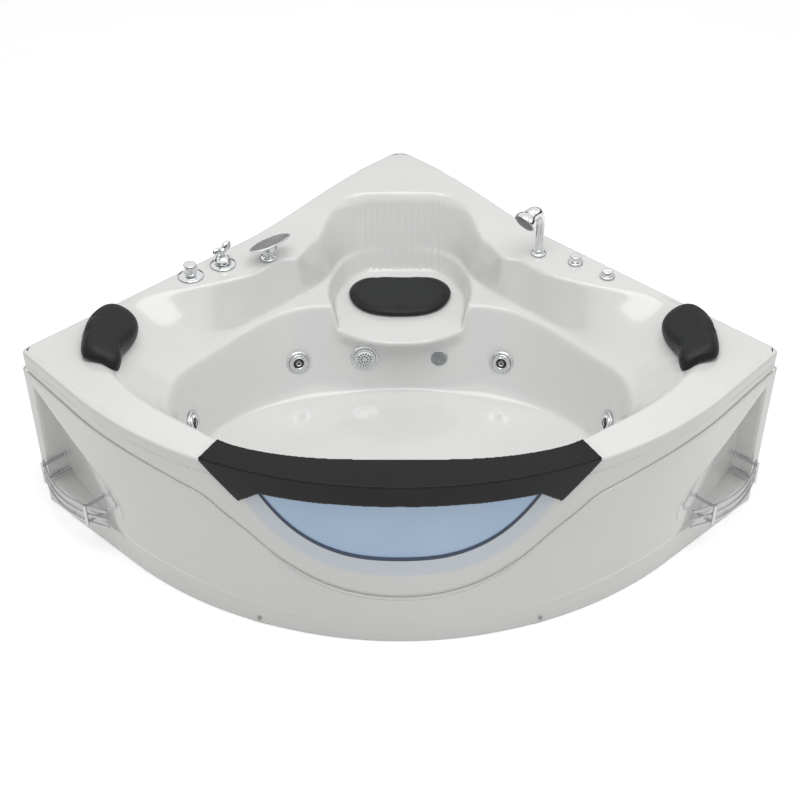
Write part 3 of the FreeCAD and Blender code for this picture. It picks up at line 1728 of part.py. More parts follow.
def make_frame():
    """Steel frame under the basin, with a rear leg that also carries the pump."""
    tube = size("frame_tube")
    half = FRAME_HALF
    pieces = [
        beam(-half, half, FRAME_BACK + 60 - tube / 2, FRAME_BACK + 60 + tube / 2),
        beam(-half, half, FRAME_FRONT - 30 - tube / 2, FRAME_FRONT - 30 + tube / 2),
        beam(-half + 5, -half + 35, FRAME_BACK + 60, FRAME_FRONT - 30),
        beam(half - 35, half - 5, FRAME_BACK + 60, FRAME_FRONT - 30),
        beam(-tube / 2, tube / 2, BACK_FOOT - 25, FRAME_FRONT - 30),
        beam(-70, 90, size("pump_depth") - 45, size("pump_depth") + 45),
    ]
    post_top = -size("seat_drop") - WALL
    post = Part.makeBox(30, 30, post_top - FRAME_TOP, at(-15, 575, FRAME_TOP))
    pieces.append(post)
    whole = pieces[0].multiFuse(pieces[1:])
    for x, depth in FOOT_PLACES:
        stem = size("foot_stem_radius") + 0.05
        whole = whole.cut(Part.makeCylinder(stem, tube * 3, at(x, depth, FRAME_TOP - 2 * tube), UP))
    return whole.removeSplitter()


feature("support_frame", make_frame())
foot_pad = cell("foot_pad_radius")
foot_stem = cell("foot_stem_radius")
FRAME_LOW = DECK + FRAME_TOP - size("frame_tube")
for number, (x, depth) in enumerate(FOOT_PLACES, start=1):
    ground = at(x, depth, -DECK)
    turned(
        "foot_%d" % number,
        [
            (0.0, 0.0),
            (foot_pad, 0.0),
            (foot_pad, 4.0),
            (foot_pad - 8, PAD_HEIGHT),
            (foot_stem, PAD_HEIGHT + 4),
            (foot_stem, FRAME_LOW + size("frame_tube") - 6),
            (0.0, FRAME_LOW + size("frame_tube") - 6),
        ],
        ground,
    )
nuts = []
for x, depth in FOOT_PLACES:
    nut = Part.Face(Part.makePolygon([
        at(x, depth, FRAME_TOP - size("frame_tube") - 10)
        + Vector(11 * math.cos(math.radians(60 * step)), 11 * math.sin(math.radians(60 * step)), 0)
        for step in range(7)
    ])).extrude(Vector(0, 0, 10))
    bore = Part.makeCylinder(size("foot_stem_radius") + 0.05, 40, at(x, depth, FRAME_TOP - 60), UP)
    nuts.append(nut.cut(bore))
feature("foot_locknuts", Part.makeCompound(nuts))


# ---------------------------------------------------------------- checks


doc.recompute()
for item in doc.Objects:
    if "Invalid" in item.State or "Error" in item.State:
        raise RuntimeError("%s did not compute: %s" % (item.Label, item.State))
for item in NODES:
    shape = item.Shape
    if shape.isNull() or not shape.isValid() or not shape.Solids:
        raise RuntimeError("%s is not a sound solid" % item.Label)
    print("%-22s solids %d  volume %.1f cm3" % (item.Label, len(shape.Solids), shape.Volume / 1000))
print("nodes", len(NODES))


# ---------------------------------------------------------------- writing

os.makedirs("parts", exist_ok=True)
for item in NODES:
    item.Shape.exportStep("parts/%s.step" % item.Label)
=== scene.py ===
# %% [markdown]
# # A corner bathtub, dressed for its portrait
# This lesson keeps those solids as the measure of everything and models the surfaces that show.

import json
import math
from contextlib import contextmanager

import bmesh
import bpy
import numpy as np
from mathutils import Matrix, Vector
from mathutils.kdtree import KDTree

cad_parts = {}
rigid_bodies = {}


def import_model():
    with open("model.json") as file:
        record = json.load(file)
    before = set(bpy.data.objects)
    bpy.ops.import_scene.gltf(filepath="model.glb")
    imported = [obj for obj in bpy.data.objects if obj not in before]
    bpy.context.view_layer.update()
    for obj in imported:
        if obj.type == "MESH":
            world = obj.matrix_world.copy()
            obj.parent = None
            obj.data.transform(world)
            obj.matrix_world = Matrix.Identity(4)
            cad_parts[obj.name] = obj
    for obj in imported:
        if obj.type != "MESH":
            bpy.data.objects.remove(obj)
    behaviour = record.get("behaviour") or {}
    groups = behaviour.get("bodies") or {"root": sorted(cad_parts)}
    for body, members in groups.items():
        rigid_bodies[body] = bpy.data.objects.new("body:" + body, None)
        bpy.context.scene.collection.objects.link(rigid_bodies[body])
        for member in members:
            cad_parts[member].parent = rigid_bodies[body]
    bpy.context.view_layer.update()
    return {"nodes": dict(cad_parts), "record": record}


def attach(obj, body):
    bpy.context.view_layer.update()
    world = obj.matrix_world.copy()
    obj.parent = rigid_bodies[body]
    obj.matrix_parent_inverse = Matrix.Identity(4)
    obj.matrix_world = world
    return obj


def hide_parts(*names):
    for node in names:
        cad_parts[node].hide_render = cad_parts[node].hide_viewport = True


for leftover in list(bpy.data.objects):
    bpy.data.objects.remove(leftover)

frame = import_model()

# %% [markdown]
# ## Sizes
# The tub is drawn in millimetres, in three plain terms: x across it, depth from the room's corner
# towards the front, and level above or below the deck. One function turns those into the frame's metres.

# %% The tub's main sizes
ROOT = math.sqrt(0.5)
SIDE = 1520.0
DECK = 565.0
FRONT, RIM_ANGLE = 1667.0, 47.5
BASE_FRONT, BASE_ANGLE = 1658.0, 42.6
SEAM = 12.0
SHEET = 6.0
HALF = SIDE * ROOT
BACK_RADIUS = 45.0
END_RADIUS = 24.0
RIM_DROP = 62.0
CORNER_RISE = 53.0
ARM_LEVEL = -147.0
SEAT_LEVEL = -215.0
FLOOR_LEVEL = -415.0
BACK_Y = (BACK_RADIUS * (math.sqrt(2) - 1) + FRONT + 6.0) / 2


def to_frame(points):
    """(x, depth, level) rows in millimetres to the frame's metres."""
    points = np.asarray(points, float)
    return np.stack([points[:, 0], BACK_Y - points[:, 1], DECK + points[:, 2]], 1) / 1000.0


def from_frame(points):
    """The frame's metres back to (x, depth, level) rows."""
    points = np.asarray(points, float) * 1000.0
    return np.stack([points[:, 0], BACK_Y - points[:, 1], points[:, 2] - DECK], 1)


print("half width", round(HALF, 1), "back edge at y", round(BACK_Y, 1))

# %% [markdown]
# ## Small tools for making meshes
# Most pieces here are grids of points: rows that follow an outline, columns that cross it. One helper
# turns such a grid into faces, and one more makes the object.


# %% Mesh helpers
def placed(name, data):
    """A mesh, a light or a camera as an object of the scene."""
    obj = bpy.data.objects.new(name, data)
    bpy.context.scene.collection.objects.link(obj)
    return obj


def make_object(name, vertices, faces, smooth=True):
    """A mesh object from frame coordinates."""
    mesh = bpy.data.meshes.new(name)
    mesh.from_pydata([tuple(v) for v in vertices], [], [tuple(f) for f in faces])
    mesh.validate()
    if smooth:
        mesh.shade_smooth()
    return placed(name, mesh)


@contextmanager
def opened(obj):
    """The object's mesh, open for editing and written back at the end."""
    work = bmesh.new()
    work.from_mesh(obj.data)
    yield work
    work.to_mesh(obj.data)
    work.free()


def grid_faces(rows, columns, closed=False):
    """Quads of a rows x columns grid; closed joins the last column to the first."""
    faces = []
    last = columns if closed else columns - 1
    for row in range(rows - 1):
        for column in range(last):
            following = (column + 1) % columns
            a, b = row * columns + column, row * columns + following
            faces.append((a, b, b + columns, a + columns))
    return faces


def outward(obj):
    """Doubles merged and faces turned outwards."""
    with opened(obj) as work:
        bmesh.ops.remove_doubles(work, verts=work.verts, dist=1e-6)
        bmesh.ops.recalc_face_normals(work, faces=work.faces)
    return obj


def plain_mesh(obj):
    """Applies what its modifiers make and returns the same object."""
    graph = bpy.context.evaluated_depsgraph_get()
    made = bpy.data.meshes.new_from_object(obj.evaluated_get(graph))
    obj.modifiers.clear()
    old = obj.data
    obj.data = made
    bpy.data.meshes.remove(old)
    return obj


def remeshed(obj, voxel):
    """The same object in even quads; the voxel is in metres."""
    remesh = obj.modifiers.new("even", "REMESH")
    remesh.mode = "VOXEL"
    remesh.voxel_size = voxel
    return plain_mesh(obj)


def mesh_points(mesh, what="co"):
    """Places or normals of a mesh's points, one row each."""
    flat = np.empty(len(mesh.vertices) * 3)
    mesh.vertices.foreach_get(what, flat)
    return flat.reshape(-1, 3)


def mesh_edges(mesh):
    flat = np.empty(len(mesh.edges) * 2, int)
    mesh.edges.foreach_get("vertices", flat)
    return flat.reshape(-1, 2)


def move_points(obj, places):
    """Puts the mesh's points at places in the frame's metres."""
    obj.data.vertices.foreach_set("co", places.ravel())
    obj.data.update()


def store(obj, label, values):
    """Keeps one number per point for the materials."""
    attribute = obj.data.attributes.new(label, "FLOAT", "POINT")
    attribute.data.foreach_set("value", values.astype(np.float32))


def full_turn(count):
    """Evenly spaced angles round a circle."""
    return np.linspace(0, 2 * math.pi, count, endpoint=False)


# %% [markdown]
# ## Outlines
# A moulded tub is best described by the closed lines that a designer draws on its plan: the rim, the
# edge of the well, the foot of the upper wall, the edge of the lower well and its floor. Each is half
# a list of points, mirrored and joined by a closed cubic spline.


# %% Closed smooth lines
LINE_COUNT = 1400


def closed_line(half_points, count=LINE_COUNT):
    """Evenly spaced points on the closed spline through a left half and its mirror."""
    left = [tuple(q) for q in half_points]
    right = [(-x, depth) for x, depth in reversed(left[1:-1])]
    knots = np.array(left + right)
    gaps = np.linalg.norm(np.roll(knots, -1, 0) - knots, axis=1)
    total = len(knots)
    matrix = np.zeros((total, total))
    side = np.zeros((total, 2))
    for i in range(total):
        before, after = gaps[i - 1], gaps[i]
        matrix[i, i - 1] += after
        matrix[i, i] += 2 * (before + after)
        matrix[i, (i + 1) % total] += before
        here, following = knots[i], knots[(i + 1) % total]
        side[i] = 3 * (after * (here - knots[i - 1]) / before + before * (following - here) / after)
    slope = np.linalg.solve(matrix, side)
    points = []
    for i in range(total):
        span = gaps[i]
        t = np.linspace(0, 1, 60, endpoint=False)[:, None]
        a, b = knots[i], knots[(i + 1) % total]
        m, n = slope[i] * span, slope[(i + 1) % total] * span
        rise = a * (2 * t**3 - 3 * t**2 + 1) + m * (t**3 - 2 * t**2 + t)
        points.append(rise + b * (3 * t**2 - 2 * t**3) + n * (t**3 - t**2))
    return evenly(np.concatenate(points), count)


def evenly(points, count, closed=True):
    """The same line with evenly spaced points."""
    line = np.concatenate([points, points[:1]]) if closed else np.asarray(points)
    steps = np.concatenate([[0], np.cumsum(np.linalg.norm(np.diff(line, axis=0), axis=1))])
    places = np.linspace(0, steps[-1], count + 1)[:-1] if closed else np.linspace(0, steps[-1], count)
    return np.stack([np.interp(places, steps, line[:, k]) for k in range(line.shape[1])], 1)


def rim_line(inset, front=FRONT, half_angle=RIM_ANGLE, count=LINE_COUNT):
    """The tub's plan: two walls, two straight ends and a bow, moved in by inset."""
    angle = math.radians(half_angle)
    sine, cosine = math.sin(angle), math.cos(angle)
    reach = HALF * (sine + cosine)
    bow_radius = (reach - front * cosine) / (1 - cosine)
    centre = front - bow_radius
    normals = np.array([[-ROOT, -ROOT], [-sine, cosine]])
    offsets = np.array([-inset - END_RADIUS, reach - inset - END_RADIUS])
    cx, cd = np.linalg.solve(normals, offsets)
    back = BACK_RADIUS * math.sqrt(2) + inset * math.sqrt(2)
    half = []
    for turn in np.linspace(-math.pi / 2, -math.pi * 0.75, 14):
        half.append((BACK_RADIUS * math.cos(turn), back + BACK_RADIUS * math.sin(turn)))
    start = math.atan2(-ROOT, -ROOT)
    stop = math.atan2(cosine, -sine) - 2 * math.pi
    for turn in np.linspace(start, stop, 22):
        half.append((cx + END_RADIUS * math.cos(turn), cd + END_RADIUS * math.sin(turn)))
    bow = bow_radius - inset
    for turn in np.linspace(angle, 0, 60):
        half.append((-bow * math.sin(turn), centre + bow * math.cos(turn)))
    half = np.array(half)
    right = half[1:-1][::-1] * [-1, 1]
    return evenly(np.concatenate([half, right]), count)


def by_wall(along, inward):
    """Left-hand plan place from distances along and away from the wall."""
    return (-(along - inward) * ROOT, (along + inward) * ROOT)


RIM = rim_line(0.0)
WELL = closed_line(
    [(0, 268), (-58, 268), (-118, 270), (-163, 292), (-196, 340), (-223, 407), (-250, 470), (-287, 528)]
    + [(-340, 601), by_wall(668, 182), by_wall(771, 171), by_wall(862, 148), by_wall(971, 98)]
    + [by_wall(1124, 26), (-867, 958), (-871, 1040), (-848, 1110), (-803, 1174), (-747, 1246)]
    + [(-666, 1327), (-580, 1393), (-484, 1462), (-365, 1528), (-237, 1555), (-107, 1563), (0, 1563)]
)
FOOT = closed_line(
    [(0, 318), (-110, 322), (-174, 360), (-212, 430), (-240, 505), (-306, 594), (-400, 676), (-492, 754)]
    + [(-580, 838), (-640, 925), (-667, 1030), (-658, 1132), (-612, 1236), (-545, 1340), (-440, 1440)]
    + [(-300, 1514), (-150, 1549), (0, 1557)]
)
EDGE = closed_line(
    [(0, 670), (-120, 667), (-224, 646), (-317, 658), (-411, 715), (-504, 801)]
    + [(-586, 904), (-641, 1008), (-650, 1123), (-614, 1238), (-537, 1344), (-427, 1437)]
    + [(-290, 1505), (-150, 1543), (0, 1552)]
)
FLOOR = closed_line(
    [(0, 718), (-192, 736), (-388, 791), (-511, 870), (-590, 980), (-602, 1102), (-555, 1222)]
    + [(-465, 1323), (-347, 1401), (-216, 1448), (-99, 1467), (0, 1472)]
)
SEAT_TOP = closed_line(
    [(0, 316), (-62, 317), (-122, 326), (-171, 364), (-205, 432), (-225, 500), (-229, 540), (-222, 600)]
    + [(-206, 660), (-190, 712), (-90, 730), (0, 732)]
)
SEAT_FOOT = closed_line(
    [(0, 340), (-58, 341), (-112, 350), (-156, 385), (-189, 446), (-208, 506), (-212, 542), (-208, 600)]
    + [(-196, 660), (-182, 706), (-90, 716), (0, 718)]
)
print("rim length", round(float(np.linalg.norm(np.diff(RIM, axis=0), axis=1).sum()) / 1000, 3), "m")

# %% [markdown]
# ## Distance fields
# For any place on the plan we want to know how far it lies inside each line. That is worked out once
# on a coarse grid with a search tree and read back with a smooth (cubic) interpolation, so later steps
# can ask for thousands of places at once.


# %% Signed distance to a line
GRID = 7.0
GRID_X = np.arange(-1120, 1121, GRID)
GRID_D = np.arange(-40, 1741, GRID)


def inside(line, x, depth):
    """True where a place is inside the closed line (ray crossings)."""
    result = np.zeros(x.shape, bool)
    ax, ad = line[:, 0], line[:, 1]
    bx, bd = np.roll(ax, -1), np.roll(ad, -1)
    for x0, d0, x1, d1 in zip(ax[::4], ad[::4], bx[3::4], bd[3::4]):
        crosses = (d0 > depth) != (d1 > depth)
        if crosses.any():
            at = (x1 - x0) * (depth[crosses] - d0) / (d1 - d0) + x0
            result[crosses] ^= x[crosses] < at
    return result


def distance_grid(line, xs, ds):
    """Signed distance on a grid, positive inside."""
    tree = KDTree(len(line))
    for index, (x, depth) in enumerate(line):
        tree.insert((x, depth, 0.0), index)
    tree.balance()
    grid_x, grid_d = np.meshgrid(xs, ds, indexing="ij")
    flat = np.stack([grid_x.ravel(), grid_d.ravel()], 1)
    near = np.array([tree.find((x, depth, 0.0))[1] for x, depth in flat])
    ahead = (near + 1) % len(line)
    behind = near - 1
    best = np.full(len(flat), 1e9)
    for other in (ahead, behind):
        start, end = line[near], line[other]
        along = end - start
        share = ((flat - start) * along).sum(1) / (along * along).sum(1)
        foot = start + along * np.clip(share, 0, 1)[:, None]
        best = np.minimum(best, np.linalg.norm(flat - foot, axis=1))
    sign = np.where(inside(line, flat[:, 0], flat[:, 1]), 1.0, -1.0)
    return (best * sign).reshape(grid_x.shape)


def cubic(t):
    """Catmull-Rom weights for a fraction between two grid lines."""
    return (
        (-t + 2 * t**2 - t**3) / 2,
        (2 - 5 * t**2 + 3 * t**3) / 2,
        (t + 4 * t**2 - 3 * t**3) / 2,
        (-(t**2) + t**3) / 2,
    )


def read_grid(field, x, depth, xs=GRID_X, ds=GRID_D):
    """The field at any places, with smooth slopes."""
    fx = np.clip((x - xs[0]) / (xs[1] - xs[0]), 1, len(xs) - 3.001)
    fd = np.clip((depth - ds[0]) / (ds[1] - ds[0]), 1, len(ds) - 3.001)
    ix, jd = fx.astype(int), fd.astype(int)
    wx, wd = cubic(fx - ix), cubic(fd - jd)
    total = np.zeros(np.shape(x))
    for i in range(4):
        for j in range(4):
            total += wx[i] * wd[j] * field[ix + i - 1, jd + j - 1]
    return total


LINES = {"rim": RIM, "well": WELL, "foot": FOOT, "edge": EDGE, "floor": FLOOR}
LINES.update({"seat_top": SEAT_TOP, "seat_foot": SEAT_FOOT})
FIELDS = {name: distance_grid(line, GRID_X, GRID_D) for name, line in LINES.items()}
print("distance fields", len(FIELDS), "of", FIELDS["rim"].shape)

# %% [markdown]
# ## The moulded surface as one formula
# Vacuum-formed acrylic has no sharp corner: flat deck, sloping walls and floor run into each other in
# soft radii. Here every hollow is a simple sloping wall with a floor, and smooth minimum and maximum
# functions join them. Their last number is the width of the blend, so it acts as the mould's radius.


# %% Level of the surface over the plan
def soft_min(a, b, width):
    share = np.clip(0.5 + 0.5 * (b - a) / width, 0, 1)
    return b * (1 - share) + a * share - width * share * (1 - share)


def soft_max(a, b, width):
    return -soft_min(-a, -b, width)


def ramp(value, low, high):
    """0 to 1 with flat ends."""
    t = np.clip((value - low) / (high - low), 0, 1)
    return t * t * (3 - 2 * t)


SHELF_STEP = 2.6


def deck_level(x, depth):
    """Flat deck that rises to the raised back corner, with the shelf's soft step."""
    rise = CORNER_RISE * (1 - ramp(depth, 120, 492))
    radius = np.hypot(x * 0.62, depth + 40)
    step = SHELF_STEP * (1 - ramp(radius, 196, 212))
    return rise + step - SHELF_STEP


def sloped(outer, inner, x, depth, top, bottom):
    """Wall that falls from one line to another and goes on past both."""
    a = read_grid(FIELDS[outer], x, depth)
    b = read_grid(FIELDS[inner], x, depth)
    share = a / np.maximum(a - b, 11.0)
    return top + (bottom - top) * share


FLUTE_PITCH, FLUTE_DEPTH, FLUTE_MIDDLE = 22.0, 3.0, 12.0
ARM_FALL, ARM_BLEND = 22, 22
SEAT_EDGE_RISE, SEAT_BLEND = 8, 22
FLOOR_BLEND = 78


def flutes(x, depth):
    """How far the seat's back recedes in its upright grooves."""
    across = ramp(x, -124, -108) * (1 - ramp(x, 132, 148))
    along = ramp(depth, 262, 284) * (1 - ramp(depth, 372, 392))
    wave = 0.5 + 0.5 * np.cos(2 * math.pi * (x - FLUTE_MIDDLE) / FLUTE_PITCH)
    return FLUTE_DEPTH * wave**0.7 * across * along


def surface_level(x, depth):
    """Level of the moulded surface at any place of the plan."""
    depth = depth + flutes(x, depth)
    deck = deck_level(x, depth)
    fade = ramp(depth, 620, 900)
    arm = ARM_LEVEL - ARM_FALL * fade
    upper = sloped("well", "foot", x, depth, deck, ARM_LEVEL)
    upper = soft_max(upper, arm, ARM_BLEND + 26 * fade)
    seat = sloped("seat_top", "seat_foot", x, depth, ARM_LEVEL + SEAT_EDGE_RISE, SEAT_LEVEL)
    seat = soft_max(seat, SEAT_LEVEL, SEAT_BLEND)
    lower = sloped("edge", "floor", x, depth, arm, FLOOR_LEVEL)
    lower = soft_max(lower, FLOOR_LEVEL, FLOOR_BLEND)
    level = soft_min(upper, lower, 16 + 30 * fade)
    level = soft_min(level, seat, 14)
    return soft_min(deck, level, 13 + 30 * (1 - ramp(depth, 400, 620)))


probe = np.array([(0, 100), (0, 300), (0, 480), (0, 700), (0, 1000), (-300, 620), (-700, 1075)], float)
print("levels", [round(float(v), 1) for v in surface_level(probe[:, 0], probe[:, 1])])

# %% [markdown]
# ## From formula to mesh
# A plain grid would stretch badly over steep walls. So the formula first makes a coarse closed block,
# the voxel remesher turns it into even quads, and then every point is moved back onto the formula.


# %% Coarse block of the moulding
def blank_block(name, step=9.0, low=-500.0):
    """Closed block whose top follows the formula and drops away outside the rim."""
    xs = np.arange(-HALF - 3 * step, HALF + 3 * step, step)
    ds = np.arange(-2 * step, FRONT + 3 * step, step)
    grid_x, grid_d = np.meshgrid(xs, ds, indexing="ij")
    flat_x, flat_d = grid_x.ravel(), grid_d.ravel()
    top = surface_level(flat_x, flat_d)
    top = np.where(read_grid(FIELDS["rim"], flat_x, flat_d) < -1, low + 20, top)
    count = len(flat_x)
    upper = np.stack([flat_x, flat_d, top], 1)
    lower = np.stack([flat_x, flat_d, np.full(count, low)], 1)
    rows, columns = grid_x.shape
    faces = grid_faces(rows, columns)
    bottom = [tuple(count + k for k in reversed(face)) for face in faces]
    border = [r * columns for r in range(rows)]
    border += [(rows - 1) * columns + c for c in range(1, columns)]
    border += [r * columns + columns - 1 for r in range(rows - 2, -1, -1)]
    border += list(range(columns - 2, 0, -1))
    walls = [(a, b, b + count, a + count) for a, b in zip(border, border[1:] + border[:1])]
    return outward(make_object(name, to_frame(np.concatenate([upper, lower])), faces + bottom + walls))


# %% [markdown]
# ## Back onto the formula
# Each point slides along the formula's slope until it lies on the surface. Between those moves the
# points are averaged with their neighbours, which evens out the quads and hides the voxel steps.


# %% Project and relax
def slide_to_surface(points, rounds=3):
    """Newton steps along the slope of level minus height."""
    points = points.copy()
    for _ in range(rounds):
        x, depth, level = points.T
        height = surface_level(x, depth)
        slope_x = (surface_level(x + 0.5, depth) - height) / 0.5
        slope_d = (surface_level(x, depth + 0.5) - height) / 0.5
        off = (level - height) / (1 + slope_x**2 + slope_d**2)
        longest = np.abs(off) * np.sqrt(1 + slope_x**2 + slope_d**2)
        off = off * np.minimum(1.0, 5.0 / np.maximum(longest, 1e-6))
        points[:, 0] += off * slope_x
        points[:, 1] += off * slope_d
        points[:, 2] -= off
    return points


def neighbours_mean(points, edges):
    """The mean place of every point's neighbours."""
    total = np.zeros_like(points)
    count = np.zeros(len(points))
    for a, b in ((edges[:, 0], edges[:, 1]), (edges[:, 1], edges[:, 0])):
        for k in range(3):
            total[:, k] += np.bincount(a, weights=points[b, k], minlength=len(points))
        count += np.bincount(a, minlength=len(points))
    return total / np.maximum(count, 1)[:, None]


def relaxed(points, edges, share=0.5):
    """Every point moved a share of the way to its neighbours' mean."""
    return points * (1 - share) + neighbours_mean(points, edges) * share


def keep_inside(obj, keep):
    """Only the faces whose points all pass the test stay."""
    with opened(obj) as work:
        drop = [v for v in work.verts if not keep[v.index]]
        bmesh.ops.delete(work, geom=drop, context="VERTS")


def moulded_skin(name, voxel):
    """Even quads that lie on the formula, inside the rim."""
    obj = remeshed(blank_block(name), voxel)
    points = from_frame(mesh_points(obj.data))
    rim_in = read_grid(FIELDS["rim"], points[:, 0], points[:, 1])
    keep_inside(obj, (rim_in > SEAM - 7) & (points[:, 2] > FLOOR_LEVEL - 30))
    points = from_frame(mesh_points(obj.data))
    edges = mesh_edges(obj.data)
    for _ in range(3):
        points = relaxed(slide_to_surface(points, 2), edges)
    move_points(obj, to_frame(slide_to_surface(points, 6)))
    return obj


moulding = moulded_skin("tub_moulding", 0.009)
print("moulded surface", len(moulding.data.polygons), "faces")

# %% [markdown]
# ## Flutes in the seat's back
# The back of the corner seat has shallow upright grooves, finer than the skin's quads. Only there are
# the faces split twice, and the new points slide onto the formula, which already holds the grooves.


# %% Finer faces where the flutes are
def split_faces(obj, wanted, cuts):
    """Splits the faces whose middle passes a test of (x, depth, level)."""
    with opened(obj) as work:
        middles = from_frame([face.calc_center_median() for face in work.faces])
        chosen = wanted(*middles.T)
        work.faces.ensure_lookup_table()
        edges = {edge for index in np.flatnonzero(chosen) for edge in work.faces[index].edges}
        bmesh.ops.subdivide_edges(work, edges=list(edges), cuts=cuts, use_grid_fill=True)


def fluted(x, depth, level):
    return (np.abs(x - FLUTE_MIDDLE) < 146) & (depth > 256) & (depth < 396) & (level > -225)


split_faces(moulding, fluted, 2)
points = from_frame(mesh_points(moulding.data))
near = fluted(*points.T)
points[near] = slide_to_surface(points[near], 5)
move_points(moulding, to_frame(points))
moulding.data.shade_smooth()
print("with flutes", len(moulding.data.polygons), "faces,", int(near.sum()), "points in them")

# %% [markdown]
# ## Cutting a skin along a line
# A skin is trimmed where some number changes sign: the distance to the seam, or to the window's line.
# Every edge that crosses gets a new point at the crossing, the faces are split between those points,
# and what lies beyond is dropped. The cut is then as smooth as the line itself.


# %% Trim a skin
def cut_where(obj, beyond, snap=0.12):
    """Keeps the side where beyond(points) is negative; rows are (x, depth, level)."""
    with opened(obj) as work:
        amounts = dict(zip(work.verts, beyond(from_frame([v.co for v in work.verts]))))
        on_line = set()
        for edge in list(work.edges):
            a, b = edge.verts
            va, vb = amounts[a], amounts[b]
            if va * vb >= 0:
                continue
            share = va / (va - vb)
            near = a if share < snap else b if share > 1 - snap else None
            if near is not None and near not in on_line:
                near.co = a.co.lerp(b.co, share)
                amounts[near] = 0.0
                on_line.add(near)
        for edge in list(work.edges):
            a, b = edge.verts
            va, vb = amounts[a], amounts[b]
            if va * vb < 0:
                _, fresh = bmesh.utils.edge_split(edge, a, va / (va - vb))
                amounts[fresh] = 0.0
                on_line.add(fresh)
        bmesh.ops.connect_verts(work, verts=list(on_line))
        gone = [face for face in work.faces if sum(amounts[v] for v in face.verts) > 0]
        bmesh.ops.delete(work, geom=gone, context="FACES")


def outside_seam(points):
    return SEAM - read_grid(FIELDS["rim"], points[:, 0], points[:, 1])


cut_where(moulding, outside_seam)
print("trimmed to", len(moulding.data.polygons), "faces")

# %% [markdown]
# ## The seat's rounded nose
# The seat ends in a nose that bulges over the wall below it. A height formula can't overhang, so this
# last touch moves finished points forwards: most in the middle, and nothing at the fittings' height.

# %% Push the nose forwards
NOSE_REACH, NOSE_HALF_WIDTH = 70.0, 212


def with_nose(points):
    """Moves the seat's front forwards; what lies beyond the basin's middle stays."""
    x, depth, level = points.T
    bulge = NOSE_REACH * np.clip(1 - (x / NOSE_HALF_WIDTH) ** 2, 0, 1) ** 1.1 * (depth < 1000)
    moved = points.copy()
    moved[:, 1] += bulge * ramp(depth, 500, 676) * ramp(level, -272, -219)
    return moved


move_points(moulding, to_frame(with_nose(from_frame(mesh_points(moulding.data)))))
print("nose at depth", round(float(with_nose(np.array([[0.0, 676.0, -216.0]]))[0, 1])))

# %% [markdown]
# ## The skin's other side
# The real sheet is about 6 mm thick, and its rough side shows from behind. A coarser copy of the skin,
# pushed 6 mm along its own normals and turned round, stands for that side.

# %% Underside of the basin
def turn_faces(obj):
    with opened(obj) as work:
        bmesh.ops.reverse_faces(work, faces=work.faces)


underside = moulded_skin("tub_underside", 0.017)
cut_where(underside, outside_seam)
shifted = mesh_points(underside.data) - mesh_points(underside.data, "normal") * SHEET / 1000
edges = mesh_edges(underside.data)
inner = read_grid(FIELDS["rim"], *from_frame(shifted)[:, :2].T) > SEAM + 12
for _ in range(4):
    shifted[inner] = relaxed(shifted, edges)[inner]
move_points(underside, shifted)
turn_faces(underside)
underside.data.shade_smooth()
print("underside", len(underside.data.polygons), "faces")

# %% [markdown]
# ## The rim
# The rim is a band of constant section: over a small radius from the deck and down. Along the two walls
# it ends in a turned-in lip. Along the front it runs on as the skin that surrounds the window.

# %% Rim band
EDGE_RADIUS = 9.0
RIM_COUNT = 900
BAND = -40.0


def ring_of_rows(name, rows, closed=True, keep=None):
    """Rows of (inset, drop, share of the corner's rise) along the plan outline."""
    points = []
    for inset, drop, share in rows:
        line = rim_line(inset, count=RIM_COUNT)
        if keep is not None:
            line = line[keep]
        x, depth = line.T
        points.append(np.stack([x, depth, drop + deck_level(x, depth) * share], 1))
    columns = len(points[0])
    return make_object(name, to_frame(np.concatenate(points)), grid_faces(len(rows), columns, closed))


SEAM_ROWS = [(SEAM, 0.0, 1.0), (SEAM + 6.0, -0.5, 1.0)]
round_over = [
    (EDGE_RADIUS * (1 - math.cos(turn)), -EDGE_RADIUS * (1 - math.sin(turn)), 1.0)
    for turn in np.linspace(0, math.pi / 2, 7)[1:]
]
side_rows = [(0.0, level, 1.0) for level in (BAND, -24.0, -EDGE_RADIUS)]
rim = ring_of_rows("tub_rim", side_rows + round_over + SEAM_ROWS)
under_rows = [(SEAM, -SHEET, 1.0), (SHEET + 3, -SHEET - 1, 1.0), (SHEET, -SHEET - 5, 1.0)]
under_rows.append((SHEET, BAND, 1.0))
rim_inner = ring_of_rows("tub_rim_inner", under_rows)
plan = rim_line(0.0, count=RIM_COUNT)
behind = plan[:, 1] <= HALF + 21
order = np.flatnonzero(behind)
breaks = np.flatnonzero(np.diff(order) > 1)
if len(breaks):
    order = np.concatenate([order[breaks[0] + 1 :], order[: breaks[0] + 1]])
lip_rows = [(SHEET, BAND, 1.0), (SHEET, -RIM_DROP, 0.0), (0.9, -RIM_DROP - 0.4, 0.0)]
lip_rows += [(0.0, -RIM_DROP + 2, 0.0), (0.0, BAND, 1.0)]
lip = ring_of_rows("tub_wall_lip", lip_rows, closed=False, keep=order)
print("rim", len(rim.data.polygons), "faces, lip", len(lip.data.polygons))

# %% [markdown]
# ## The window's outline
# The glazed opening is a half moon. Its line is a natural cubic spline through nine points, closed by a
# straight top that hides under the black cap. The front's S line is another such spline.


